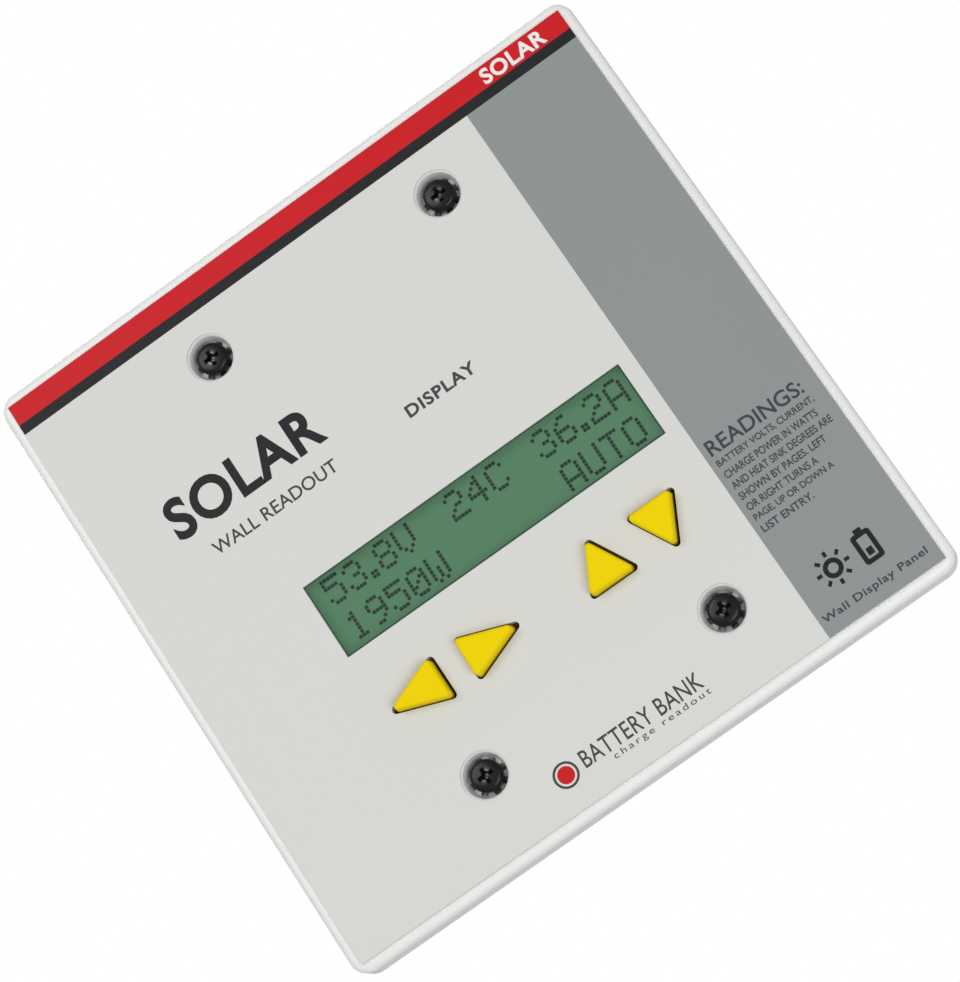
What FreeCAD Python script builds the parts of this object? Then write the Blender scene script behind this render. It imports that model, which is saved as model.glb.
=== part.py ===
import FreeCAD, Part

import os
import re

import Sketcher
from FreeCAD import Placement, Rotation, Vector

# A wall-plate remote meter for a solar charge controller: a white two-gang cover plate with a
# printed overlay, a two-line liquid-crystal readout, four arrow keys on tactile switches, four
# recessed mounting screws, and a circuit board on the back with a modular cable jack.
#
# Every piece is drawn in the plate's own frame: x to the right, y up and z out of the face, with
# z = 0 on the rim that meets the wall and the origin at the centre of the screw pattern. TO_ROW
# then stands the plate upright: its face looks along -Y and its top points along +Z.

TO_ROW = Placement(Vector(0, 0, 0), Rotation(Vector(1, 0, 0), 90))

# Driving dimensions, in millimetres.
DIMENSIONS = {
    # cover plate: the standard two-gang size, 4.56 x 4.50 inches
    "plate_width": 115.8,
    "plate_height": 114.3,
    "plate_depth": 5.6,
    "plate_corner": 3.2,
    "plate_roll": 1.4,
    "front_wall": 2.2,
    "side_wall": 2.4,
    "rib_x": 50.0,
    "rib_y": 49.4,
    "rib_thick": 1.2,
    "rib_low": 1.2,
    # mounting screws: the two-gang wall-box pattern, 1-13/16 x 3-9/32 inches
    "mount_x": 23.02,
    "mount_y": 41.67,
    "recess_mouth": 3.75,
    "recess_radius": 3.25,
    "recess_floor": 2.95,
    "recess_rim": 0.35,
    "mount_hole_radius": 1.7,
    "cup_radius": 5.4,
    "screw_radius": 1.5,
    "screw_neck_radius": 1.33,
    "screw_length": 20.0,
    "screw_head_radius": 2.7,
    "screw_head_height": 1.95,
    "screw_head_round": 0.7,
    "screw_slot_length": 3.0,
    "screw_slot_width": 0.7,
    "screw_slot_depth": 1.1,
    "washer_thick": 0.68,
    "washer_bore": 1.6,
    "washer_ring": 2.6,
    "washer_radius": 3.12,
    "washer_tooth_root": 1.9,
    "washer_tooth_width": 1.1,
    "washer_tooth_thick": 0.35,
    "washer_tooth_twist": 18.0,
    # printed overlay
    "overlay_width": 112.24,
    "overlay_height": 110.48,
    "overlay_thick": 0.25,
    "overlay_hole": 4.1,
    # readout
    "window_x": 0.15,
    "window_y": -6.24,
    "window_width": 62.5,
    "window_height": 13.85,
    "pane_gap": 0.1,
    "pane_front": 5.82,
    "pane_ledge": 4.8,
    "pane_back": 4.4,
    "pane_flange_width": 66.6,
    "pane_flange_height": 17.6,
    "bezel_width": 72.0,
    "bezel_height": 24.0,
    "bezel_skin": 0.4,
    "bezel_fit": 0.7,
    "bezel_window_width": 64.5,
    "bezel_window_height": 15.6,
    "bezel_tab_x": 24.0,
    "bezel_tab_width": 2.0,
    "bezel_tab_reach": 1.1,
    "gasket_margin": 0.3,
    "glass_width": 69.0,
    "glass_height": 20.6,
    "rear_glass_height": 16.4,
    "glass_thick": 0.9,
    "strip_width": 66.0,
    "strip_height": 1.8,
    "strip_y": 9.3,
    "backlight_width": 66.0,
    "backlight_height": 15.8,
    # arrow keys: triangles given by the middle of the base, the base and the height
    "side_key_base": 8.6,
    "side_key_height": 11.65,
    "side_key_y": -24.7,
    "left_key_x": -19.55,
    "right_key_x": -15.4,
    "rise_key_base": 9.85,
    "rise_key_height": 9.45,
    "up_key_x": 11.3,
    "up_key_y": -28.65,
    "down_key_x": 22.9,
    "down_key_y": -20.7,
    "key_hole_round": 0.7,
    "key_gap": 0.22,
    "key_taper": 2.0,
    "key_shift_x": -0.17,
    "key_shift_y": -0.05,
    "key_round": 0.65,
    "key_back": 2.6,
    "key_front": 8.2,
    "key_top_round": 0.6,
    "flange_reach": 0.7,
    "flange_round": 1.4,
    "flange_front": 3.3,
    # tactile switches, 6 mm square
    "switch_side": 6.0,
    "switch_top": 1.8,
    "switch_cover": 0.3,
    "switch_well_radius": 2.45,
    "switch_well_floor": -0.9,
    "stem_radius": 1.7,
    "stem_hole_radius": 1.8,
    "stem_flange_radius": 2.3,
    "stem_flange_low": 0.6,
    "stem_flange_high": 1.4,
    "stem_nose_radius": 0.8,
    "dome_sphere": 4.33,
    "dome_skin": 0.08,
    "dome_rise": 0.6,
    "pin_x": 3.25,
    "pin_y": 2.25,
    "pin_width": 0.7,
    "pin_thick": 0.3,
    "pin_end": -4.9,
    "pin_hole_radius": 0.5,
    # circuit board
    "board_width": 88.0,
    "board_height": 66.0,
    "board_front": -1.7,
    "board_thick": 1.6,
    "board_screw_x": 40.0,
    "board_screw_y": 29.0,
    "board_hole_radius": 1.4,
    "boss_radius": 3.2,
    "insert_length": 3.4,
    "insert_radius": 2.0,
    "insert_bore": 1.25,
    "insert_fit": 0.05,
    "fixing_radius": 1.2,
    "fixing_length": 4.5,
    "fixing_head_radius": 2.25,
    "fixing_head_height": 1.7,
    "fixing_head_round": 0.7,
    "fixing_slot_length": 2.5,
    "fixing_slot_width": 0.6,
    "fixing_slot_depth": 0.9,
    # modular cable jack, six positions and four contacts
    "jack_width": 13.2,
    "jack_depth": 16.4,
    "jack_height": 12.0,
    "jack_low": -33.5,
    "jack_wall": 1.4,
    "plug_width": 9.9,
    "plug_height": 6.9,
    "plug_depth": 13.0,
    "latch_width": 6.2,
    "latch_height": 1.9,
    "nose_width": 3.4,
    "contact_pitch": 1.02,
    "contact_thick": 0.35,
    "contact_length": 10.0,
    "contact_start": 2.5,
    "contact_lift": 1.1,
    "peg_x": 5.08,
    "peg_y": -24.6,
    "peg_radius": 1.5,
    "peg_length": 2.6,
    # chips in small-outline cases, with gull-wing leads
    "controller_x": -18.0,
    "controller_y": 14.0,
    "controller_width": 17.9,
    "controller_height": 7.5,
    "controller_thick": 2.3,
    "transceiver_x": 12.0,
    "transceiver_y": 0.0,
    "transceiver_width": 4.9,
    "transceiver_height": 3.9,
    "transceiver_thick": 1.5,
    "chip_lift": 0.15,
    "lead_pitch": 1.27,
    "lead_width": 0.42,
    "lead_thick": 0.2,
    "lead_reach": 1.4,
    # voltage regulator
    "regulator_x": 28.0,
    "regulator_y": 17.0,
    "regulator_width": 6.6,
    "regulator_height": 6.1,
    "regulator_thick": 2.3,
    "regulator_lift": 0.1,
    "regulator_metal": 0.5,
    "regulator_tab_width": 5.3,
    "regulator_tab_height": 2.1,
    "regulator_leg_x": 2.3,
    "regulator_leg_width": 0.8,
    "regulator_leg_height": 2.8,
    # electrolytic capacitors, crystal and chip parts
    "can_x": 34.0,
    "upper_can_y": 0.5,
    "lower_can_y": -10.5,
    "can_radius": 4.0,
    "can_height": 8.6,
    "can_foot_side": 8.3,
    "can_foot_thick": 1.3,
    "crystal_x": -22.0,
    "crystal_y": -5.0,
    "crystal_half": 3.5,
    "crystal_radius": 1.9,
    "crystal_thick": 3.4,
    "chip_part_width": 1.25,
    "chip_part_height": 2.0,
    "resistor_thick": 0.55,
    "ceramic_thick": 1.0,
}

doc = FreeCAD.newDocument("RemoteMeter")
sheet = doc.addObject("Spreadsheet::Sheet", "Dims")
for line, (alias, size) in enumerate(DIMENSIONS.items(), start=1):
    sheet.set(f"A{line}", alias)
    sheet.set(f"B{line}", str(size))
    sheet.setAlias(f"B{line}", alias)
doc.recompute()

ALIAS = re.compile(r"\b(" + "|".join(sorted(DIMENSIONS, key=len, reverse=True)) + r")\b")
pieces = []


def dims(expression):
    """The expression with each alias pointing at the sheet."""
    return ALIAS.sub(r"Dims.\1", str(expression))


def bind(item, **sizes):
    """Tie properties of an object to expressions in the sheet's aliases."""
    for name, expression in sizes.items():
        item.setExpression(name, dims(expression))


def place(item, x, y, z):
    """Tie an object's position in the plate's frame to three expressions."""
    for axis, expression in zip("xyz", (x, y, z)):
        item.setExpression(f"Placement.Base.{axis}", dims(expression))


def finish(item, node):
    """Stand a sub-part upright in the row's frame and list it under its node's name."""
    item.Label = node
    item.Placement = TO_ROW
    pieces.append(item)


# ---- Part primitives and booleans -------------------------------------------------------------

def block(name, x, y, z, width, height, depth):
    """A box centred on x and y that starts at z."""
    box = doc.addObject("Part::Box", name)
    bind(box, Length=width, Width=height, Height=depth)
    place(box, f"({x}) - ({width}) / 2", f"({y}) - ({height}) / 2", z)
    return box


def rod(name, x, y, z, radius, depth):
    """A cylinder along z that starts at z."""
    cylinder = doc.addObject("Part::Cylinder", name)
    bind(cylinder, Radius=radius, Height=depth)
    place(cylinder, x, y, z)
    return cylinder


def fuse(name, shapes):
    joined = doc.addObject("Part::MultiFuse", name)
    joined.Shapes = shapes
    return joined


def cut(name, base, tools):
    """The base less the tools."""
    result = doc.addObject("Part::Cut", name)
    result.Base = base
    result.Tool = fuse(name + "_tools", tools) if len(tools) > 1 else tools[0]
    return result


def group(name, shapes):
    """Separate solids that share a node, or one solid that needs a placement of its own."""
    bundle = doc.addObject("Part::Compound", name)
    bundle.Links = shapes
    return bundle


def round_edges(name, base, radius, chosen):
    """A Part::Fillet on the edges of the base that the test picks."""
    doc.recompute()
    rounded = doc.addObject("Part::Fillet", name)
    rounded.Base = base
    value = getattr(sheet, radius)
    rounded.Edges = [(i, value, value) for i, edge in enumerate(base.Shape.Edges, 1) if chosen(edge)]
    return rounded


# ---- PartDesign bodies and sketches -----------------------------------------------------------

LEAST_CUT = 0.01  # cubic millimetres
TOLERANCE = 1e-3


def new_body(node):
    return doc.addObject("PartDesign::Body", node)


def new_sketch(body, name, z):
    """A sketch of the body, parallel to its XY plane at the height z."""
    sketch = body.newObject("Sketcher::SketchObject", name)
    support = next(item for item in body.Origin.OriginFeatures if item.Role == "XY_Plane")
    sketch.AttachmentSupport = (support, [""])
    sketch.MapMode = "FlatFace"
    sketch.setExpression("AttachmentOffset.Base.z", dims(z))
    return sketch


def fix_point(sketch, geometry, vertex, x, y):
    """Hold a point of the sketch at x and y from the sketch's origin."""
    for kind, expression in (("DistanceX", x), ("DistanceY", y)):
        index = sketch.addConstraint(Sketcher.Constraint(kind, -1, 1, geometry, vertex, 1.0))
        sketch.setExpression(f"Constraints[{index}]", dims(expression))


def draw_polygon(sketch, corners):
    """A closed outline of straight lines, each corner held by its two expressions."""
    count = len(corners)
    rough = [Vector(10, 0, 0), Vector(10, 10, 0), Vector(0, 10, 0), Vector(-10, 10, 0),
             Vector(-10, 0, 0), Vector(-10, -10, 0), Vector(0, -10, 0), Vector(10, -10, 0)][:count]
    lines = [sketch.addGeometry(Part.LineSegment(rough[i], rough[(i + 1) % count]))
             for i in range(count)]
    for i, line in enumerate(lines):
        sketch.addConstraint(Sketcher.Constraint("Coincident", line, 2, lines[(i + 1) % count], 1))
    for line, (x, y) in zip(lines, corners):
        fix_point(sketch, line, 1, x, y)


def draw_rectangle(sketch, x, y, width, height):
    """A rectangle centred on x and y."""
    left, right = f"({x}) - ({width}) / 2", f"({x}) + ({width}) / 2"
    low, high = f"({y}) - ({height}) / 2", f"({y}) + ({height}) / 2"
    draw_polygon(sketch, [(left, low), (right, low), (right, high), (left, high)])


def draw_circle(sketch, x, y, radius):
    ring = sketch.addGeometry(Part.Circle(Vector(0, 0, 0), Vector(0, 0, 1), 1.0))
    fix_point(sketch, ring, 3, x, y)
    index = sketch.addConstraint(Sketcher.Constraint("Radius", ring, 1.0))
    sketch.setExpression(f"Constraints[{index}]", dims(radius))


def pad(body, sketch, depth):
    """Material from the sketch outwards, along z."""
    feature = body.newObject("PartDesign::Pad", sketch.Name + "_pad")
    feature.Profile = sketch
    bind(feature, Length=depth)
    return feature


def pocket(body, sketch, depth, outwards=True):
    """A cut from the sketch, along z where it goes outwards and against z where it doesn't."""
    doc.recompute()
    before = body.Shape.Volume
    feature = body.newObject("PartDesign::Pocket", sketch.Name + "_pocket")
    feature.Profile = sketch
    feature.Reversed = outwards
    bind(feature, Length=depth)
    doc.recompute()
    if body.Shape.Volume > before - LEAST_CUT:
        raise RuntimeError(f"{feature.Name} cuts nothing")
    return feature


def fillet(body, radius, chosen):
    """Round the edges of the body's tip that the test picks."""
    doc.recompute()
    tip = body.Tip
    names = [f"Edge{i}" for i, edge in enumerate(tip.Shape.Edges, 1) if chosen(edge)]
    feature = body.newObject("PartDesign::Fillet", f"{body.Name}_round_{radius}")
    feature.Base = (tip, names)
    bind(feature, Radius=radius)
    doc.recompute()
    return feature


def is_upright(edge):
    """Whether an edge runs straight along z."""
    low, high = edge.BoundBox.ZMin, edge.BoundBox.ZMax
    return (high - low > TOLERANCE and edge.BoundBox.XLength < TOLERANCE
            and edge.BoundBox.YLength < TOLERANCE)


def is_at_height(edge, height):
    """Whether all of an edge lies at the height z."""
    return (abs(edge.BoundBox.ZMin - height) < TOLERANCE
            and abs(edge.BoundBox.ZMax - height) < TOLERANCE)


# ---- places that several pieces share ---------------------------------------------------------

FOUR_CORNERS = [(-1, -1), (1, -1), (-1, 1), (1, 1)]
MOUNT_POINTS = [(f"{i} * mount_x", f"{j} * mount_y") for i, j in FOUR_CORNERS]
BOARD_POINTS = [(f"{i} * board_screw_x", f"{j} * board_screw_y") for i, j in FOUR_CORNERS]
BOARD_BACK = "(board_front - board_thick)"

# Each key's opening: the middle of its base, the direction in which it points, base and height.
# The keys sit a little off the centres of their openings, by key_shift_x and key_shift_y.
KEYS = {
    "left": ("left_key_x", "side_key_y", (-1, 0), "side_key_base", "side_key_height"),
    "right": ("right_key_x", "side_key_y", (1, 0), "side_key_base", "side_key_height"),
    "up": ("up_key_x", "up_key_y", (0, 1), "rise_key_base", "rise_key_height"),
    "down": ("down_key_x", "down_key_y", (0, -1), "rise_key_base", "rise_key_height"),
}


def inradius(base, height):
    return f"({base} * {height} / ({base} + 2 * sqrt({height} ^ 2 + {base} ^ 2 / 4)))"


def opening_corners(key, inset="0", shift_x="0", shift_y="0"):
    """The corners of a key's opening, with its three sides moved in by the inset."""
    x, y, (along_x, along_y), base, height = KEYS[key]
    inner = inradius(base, height)
    tip = f"({height} - ({inset}) * ({height} - {inner}) / {inner})"
    half = f"({base} / 2 * (1 - ({inset}) / {inner}))"
    points = [(tip, "0"), (f"({inset})", half), (f"({inset})", f"(-{half})")]
    return [(f"{x} + {shift_x} + {forward} * {along_x} - {across} * {along_y}",
             f"{y} + {shift_y} + {forward} * {along_y} + {across} * {along_x}")
            for forward, across in points]


def key_corners(key, inset):
    """The corners of a key's own triangle, which stands off its opening's centre."""
    return opening_corners(key, inset, "key_shift_x", "key_shift_y")


def key_centre(key):
    """The centre of a key's inscribed circle, which is where its switch stands."""
    x, y, (along_x, along_y), base, height = KEYS[key]
    inner = inradius(base, height)
    return (f"({x} + key_shift_x + {inner} * {along_x})",
            f"({y} + key_shift_y + {inner} * {along_y})")


def near_keys(edge):
    """Whether an edge lies in the band of the keys: under the readout and over the low screws."""
    x, y = edge.BoundBox.XMin, edge.BoundBox.YMin
    band_top = sheet.window_y - sheet.bezel_height / 2
    band_low = sheet.overlay_hole - sheet.mount_y
    return abs(x) < sheet.bezel_width / 2 and band_low < y < band_top


# ---- cover plate and overlay ------------------------------------------------------------------

def make_front_plate():
    body = new_body("front_plate")
    hollow = "(plate_depth - front_wall)"
    bite = "front_wall / 4"

    outline = new_sketch(body, "plate_outline", "0")
    draw_rectangle(outline, "0", "0", "plate_width", "plate_height")
    pad(body, outline, "plate_depth")
    fillet(body, "plate_corner", is_upright)
    fillet(body, "plate_roll", lambda edge: is_at_height(edge, sheet.plate_depth))

    inside = new_sketch(body, "plate_hollow", "0")
    draw_rectangle(inside, "0", "0", "plate_width - 2 * side_wall", "plate_height - 2 * side_wall")
    pocket(body, inside, hollow)

    cups = new_sketch(body, "plate_cups", "0")
    for x, y in MOUNT_POINTS:
        draw_circle(cups, x, y, "cup_radius")
    pad(body, cups, f"{hollow} + {bite}")

    bosses = new_sketch(body, "plate_bosses", "board_front")
    for x, y in BOARD_POINTS:
        draw_circle(bosses, x, y, "boss_radius")
    pad(body, bosses, f"{hollow} - board_front + {bite}")

    rib_height = f"{hollow} - rib_low + {bite}"
    for side in (-1, 1):
        upright = new_sketch(body, f"plate_rib_x{side + 1}", "rib_low")
        draw_rectangle(upright, f"{side} * rib_x", "0", "rib_thick", "plate_height - 2 * side_wall")
        pad(body, upright, rib_height)
        level = new_sketch(body, f"plate_rib_y{side + 1}", "rib_low")
        draw_rectangle(level, "0", f"{side} * rib_y", "plate_width - 2 * side_wall", "rib_thick")
        pad(body, level, rib_height)

    seat = new_sketch(body, "plate_display_seat", hollow)
    draw_rectangle(seat, "window_x", "window_y", "bezel_width + 2 * bezel_fit",
                   "bezel_height + 2 * bezel_fit")
    pocket(body, seat, f"pane_ledge - {hollow}")

    window = new_sketch(body, "plate_window", "0")
    draw_rectangle(window, "window_x", "window_y", "window_width", "window_height")
    pocket(body, window, "plate_depth")

    openings = new_sketch(body, "plate_key_openings", "0")
    for key in KEYS:
        draw_polygon(openings, opening_corners(key))
    pocket(body, openings, "plate_depth")
    fillet(body, "key_hole_round", lambda edge: is_upright(edge) and near_keys(edge))

    recesses = new_sketch(body, "plate_recesses", "recess_floor")
    for x, y in MOUNT_POINTS:
        draw_circle(recesses, x, y, "recess_radius")
    funnel = pocket(body, recesses, "plate_depth - recess_floor")
    bind(funnel, TaperAngle="atan((recess_mouth - recess_radius) / (plate_depth - recess_floor))")
    fillet(body, "recess_rim", lambda edge: is_at_height(edge, sheet.plate_depth)
           and abs(edge.BoundBox.XLength - 2 * sheet.recess_mouth) < TOLERANCE)

    holes = new_sketch(body, "plate_screw_holes", "0")
    for x, y in MOUNT_POINTS:
        draw_circle(holes, x, y, "mount_hole_radius")
    pocket(body, holes, "recess_floor")

    pilots = new_sketch(body, "plate_insert_holes", "board_front")
    for x, y in BOARD_POINTS:
        draw_circle(pilots, x, y, "insert_radius + insert_fit")
    pocket(body, pilots, "insert_length + insert_fit")
    finish(body, "front_plate")


def make_graphic_overlay():
    body = new_body("graphic_overlay")
    film = new_sketch(body, "overlay_film", "plate_depth")
    draw_rectangle(film, "0", "0", "overlay_width", "overlay_height")
    draw_rectangle(film, "window_x", "window_y", "window_width", "window_height")
    for x, y in MOUNT_POINTS:
        draw_circle(film, x, y, "overlay_hole")
    for key in KEYS:
        draw_polygon(film, opening_corners(key))
    pad(body, film, "overlay_thick")
    fillet(body, "key_hole_round", lambda edge: is_upright(edge) and near_keys(edge))
    finish(body, "graphic_overlay")


# ---- readout ----------------------------------------------------------------------------------

def make_display_window():
    body = new_body("display_window")
    flange = new_sketch(body, "pane_flange", "pane_back")
    draw_rectangle(flange, "window_x", "window_y", "pane_flange_width", "pane_flange_height")
    pad(body, flange, "pane_ledge - pane_back")
    plug = new_sketch(body, "pane_plug", "pane_back")
    draw_rectangle(plug, "window_x", "window_y", "window_width - 2 * pane_gap",
                   "window_height - 2 * pane_gap")
    pad(body, plug, "pane_front - pane_back")
    finish(body, "display_window")


def make_display_gasket():
    body = new_body("display_gasket")
    ring = new_sketch(body, "gasket_ring", "pane_back")
    draw_rectangle(ring, "window_x", "window_y", "bezel_width - gasket_margin",
                   "bezel_height - gasket_margin")
    draw_rectangle(ring, "window_x", "window_y", "pane_flange_width + 2 * gasket_margin",
                   "pane_flange_height + 2 * gasket_margin")
    pad(body, ring, "pane_ledge - pane_back")
    finish(body, "display_gasket")


def make_lcd_bezel():
    """A pressed steel frame that clamps the glass to the board with four tabs."""
    body = new_body("lcd_bezel")
    shell = new_sketch(body, "bezel_shell", "board_front")
    draw_rectangle(shell, "window_x", "window_y", "bezel_width", "bezel_height")
    pad(body, shell, "pane_back - board_front")
    inside = new_sketch(body, "bezel_inside", "board_front")
    draw_rectangle(inside, "window_x", "window_y", "bezel_width - 2 * bezel_skin",
                   "bezel_height - 2 * bezel_skin")
    pocket(body, inside, "pane_back - board_front - bezel_skin")
    window = new_sketch(body, "bezel_window", "board_front")
    draw_rectangle(window, "window_x", "window_y", "bezel_window_width", "bezel_window_height")
    pocket(body, window, "pane_back - board_front")
    tabs = new_sketch(body, "bezel_tabs", f"{BOARD_BACK} - bezel_tab_reach")
    for i, j in FOUR_CORNERS:
        draw_rectangle(tabs, f"window_x + {i} * bezel_tab_x",
                       f"window_y + {j} * (bezel_height - bezel_skin) / 2",
                       "bezel_tab_width", "bezel_skin")
    pad(body, tabs, "board_thick + bezel_tab_reach + bezel_skin")
    finish(body, "lcd_bezel")


def make_lcd_cell():
    """The glass cell, the rubber strips that carry its contacts to the board, and its light."""
    front_back = "(pane_back - bezel_skin - glass_thick)"
    rear_back = f"({front_back} - glass_thick)"
    slabs = {
        "lcd_front_glass": (front_back, "0", "glass_width", "glass_height", "glass_thick"),
        "lcd_rear_glass": (rear_back, "0", "glass_width", "rear_glass_height", "glass_thick"),
        "lcd_contact_strip_upper": ("board_front", "strip_y", "strip_width", "strip_height",
                                    f"{front_back} - board_front"),
        "lcd_contact_strip_lower": ("board_front", "-strip_y", "strip_width", "strip_height",
                                    f"{front_back} - board_front"),
        "lcd_backlight": ("board_front", "0", "backlight_width", "backlight_height",
                          f"{rear_back} - board_front"),
    }
    for node, (low, across, width, height, depth) in slabs.items():
        slab = block(node + "_slab", "window_x", f"window_y + {across}", low, width, height, depth)
        finish(group(node + "_piece", [slab]), node)


# ---- keys and switches ------------------------------------------------------------------------

def make_key(key):
    """A triangular cap that stands through the plate, with a flange that holds it in behind."""
    body = new_body(f"key_{key}")
    cap = new_sketch(body, f"{key}_cap", "key_back")
    draw_polygon(cap, key_corners(key, "key_gap"))
    bind(pad(body, cap, "key_front - key_back"), TaperAngle="-key_taper")
    fillet(body, "key_round", lambda edge: edge.BoundBox.ZLength > TOLERANCE)
    fillet(body, "key_top_round", lambda edge: is_at_height(edge, sheet.key_front))
    flange = new_sketch(body, f"{key}_flange", "key_back")
    draw_polygon(flange, key_corners(key, "-flange_reach"))
    pad(body, flange, "flange_front - key_back")
    fillet(body, "flange_round", lambda edge: is_upright(edge)
           and abs(edge.Length - (sheet.flange_front - sheet.key_back)) < TOLERANCE)
    finish(body, f"key_{key}")


def make_switch(key):
    """A tactile switch: moulded base, steel cover, plunger, snap dome and four pins."""
    x, y = key_centre(key)
    well = "(switch_top - switch_cover - switch_well_floor)"

    shell = block(f"{key}_shell", x, y, "board_front", "switch_side", "switch_side",
                  "switch_top - switch_cover - board_front")
    hollow = rod(f"{key}_well", x, y, "switch_well_floor", "switch_well_radius", well)
    finish(cut(f"{key}_base", shell, [hollow]), f"switch_base_{key}")

    lid = block(f"{key}_lid", x, y, "switch_top - switch_cover", "switch_side", "switch_side",
                "switch_cover")
    eye = rod(f"{key}_eye", x, y, "switch_top - switch_cover", "stem_hole_radius", "switch_cover")
    finish(cut(f"{key}_cover", lid, [eye]), f"switch_cover_{key}")

    dome_top = "(switch_well_floor + dome_rise)"
    nose = rod(f"{key}_nose", x, y, dome_top, "stem_nose_radius", f"stem_flange_low - {dome_top}")
    disc = rod(f"{key}_disc", x, y, "stem_flange_low", "stem_flange_radius",
               "stem_flange_high - stem_flange_low")
    stem = rod(f"{key}_stem", x, y, "stem_flange_low", "stem_radius", "key_back - stem_flange_low")
    finish(fuse(f"{key}_plunger", [nose, disc, stem]), f"switch_plunger_{key}")

    caps = []
    for name, radius in (("outer", "dome_sphere"), ("inner", "(dome_sphere - dome_skin)")):
        cap = doc.addObject("Part::Sphere", f"{key}_dome_{name}")
        bind(cap, Radius=radius, Angle1=f"asin((dome_sphere - dome_rise) / {radius})")
        place(cap, x, y, "switch_well_floor + dome_rise - dome_sphere")
        caps.append(cap)
    finish(cut(f"{key}_dome", caps[0], caps[1:]), f"switch_dome_{key}")

    pins = [block(f"{key}_pin{n}", f"{x} + {i} * pin_x", f"{y} + {j} * pin_y", "pin_end",
                  "pin_thick", "pin_width", "board_front - pin_end + pin_width")
            for n, (i, j) in enumerate(FOUR_CORNERS)]
    finish(group(f"{key}_pins", pins), f"switch_pins_{key}")


# ---- circuit board and what is on it ----------------------------------------------------------

def make_main_board():
    body = new_body("main_board")
    panel = new_sketch(body, "board_panel", BOARD_BACK)
    draw_rectangle(panel, "0", "0", "board_width", "board_height")
    for x, y in BOARD_POINTS:
        draw_circle(panel, x, y, "board_hole_radius")
    for key in KEYS:
        x, y = key_centre(key)
        for i, j in FOUR_CORNERS:
            draw_circle(panel, f"{x} + {i} * pin_x", f"{y} + {j} * pin_y", "pin_hole_radius")
    for side in (-1, 1):
        draw_circle(panel, f"{side} * peg_x", "peg_y", "peg_radius + insert_fit")
    for i, j in FOUR_CORNERS:
        draw_rectangle(panel, f"window_x + {i} * bezel_tab_x",
                       f"window_y + {j} * (bezel_height - bezel_skin) / 2",
                       "bezel_tab_width + bezel_skin", "2 * bezel_skin")
    pad(body, panel, "board_thick")
    finish(body, "main_board")


def make_jack_housing():
    """A modular telephone jack that opens at the board's lower edge, latch side outwards."""
    low = f"({BOARD_BACK} - jack_height)"
    middle = "(jack_low + jack_depth / 2)"
    plug_low = f"({low} + jack_wall + latch_height)"
    shell = block("jack_shell", "0", middle, low, "jack_width", "jack_depth", "jack_height")
    cavity = block("jack_cavity", "0", "jack_low + plug_depth / 2", plug_low,
                   "plug_width", "plug_depth", "plug_height")
    latch = block("jack_latch", "0", "jack_low + plug_depth / 2", f"{low} + jack_wall",
                  "latch_width", "plug_depth", "latch_height")
    nose = block("jack_nose", "0", "jack_low + jack_wall", low, "nose_width", "2 * jack_wall",
                 "jack_wall")
    socket = cut("jack_socket", shell, [cavity, latch, nose])
    pegs = [rod(f"jack_peg{n}", f"{side} * peg_x", "peg_y", f"{BOARD_BACK}", "peg_radius",
                "peg_length") for n, side in enumerate((-1, 1))]
    finish(fuse("jack_body", [socket] + pegs), "jack_housing")


def make_jack_contacts():
    """Four sprung wires that lie along the jack's board side."""
    top = f"({BOARD_BACK} - jack_height + jack_wall + latch_height + plug_height)"
    middle = "jack_low + contact_start + contact_length / 2"
    wires = [block(f"contact{n}", f"{place_across} * contact_pitch", middle,
                   f"{top} - contact_lift", "contact_thick", "contact_length", "contact_thick")
             for n, place_across in enumerate((-1.5, -0.5, 0.5, 1.5))]
    finish(group("contact_group", wires), "jack_contacts")


def make_chip(kind, per_side):
    """A chip's case and its two rows of leads, as many on each side as per_side says."""
    x, y, width, height, thick = [f"{kind}_{size}" for size in ("x", "y", "width", "height", "thick")]
    case = block(f"{kind}_case", x, y, f"{BOARD_BACK} - chip_lift - {thick}", width, height, thick)
    finish(group(f"{kind}_piece", [case]), f"{kind}_chip")
    shoulder = f"({thick} / 2 + chip_lift)"
    leads = []
    for n in range(per_side):
        lead_x = f"{x} + {n - (per_side - 1) / 2} * lead_pitch"
        for side in (-1, 1):
            tag = f"{kind}_lead{n}_{side + 1}"
            edge = f"{y} + {side} * {height} / 2"
            arm = block(f"{tag}_arm", lead_x, f"{edge} + {side} * lead_reach / 4",
                        f"{BOARD_BACK} - {shoulder}", "lead_width", "lead_reach / 2", "lead_thick")
            leg = block(f"{tag}_leg", lead_x, f"{edge} + {side} * lead_reach / 2",
                        f"{BOARD_BACK} - {shoulder}", "lead_width", "lead_thick", shoulder)
            foot = block(f"{tag}_foot", lead_x, f"{edge} + {side} * lead_reach * 3 / 4",
                         f"{BOARD_BACK} - lead_thick", "lead_width", "lead_reach / 2", "lead_thick")
            leads.append(fuse(tag, [arm, leg, foot]))
    finish(group(f"{kind}_lead_group", leads), f"{kind}_chip_leads")


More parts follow.
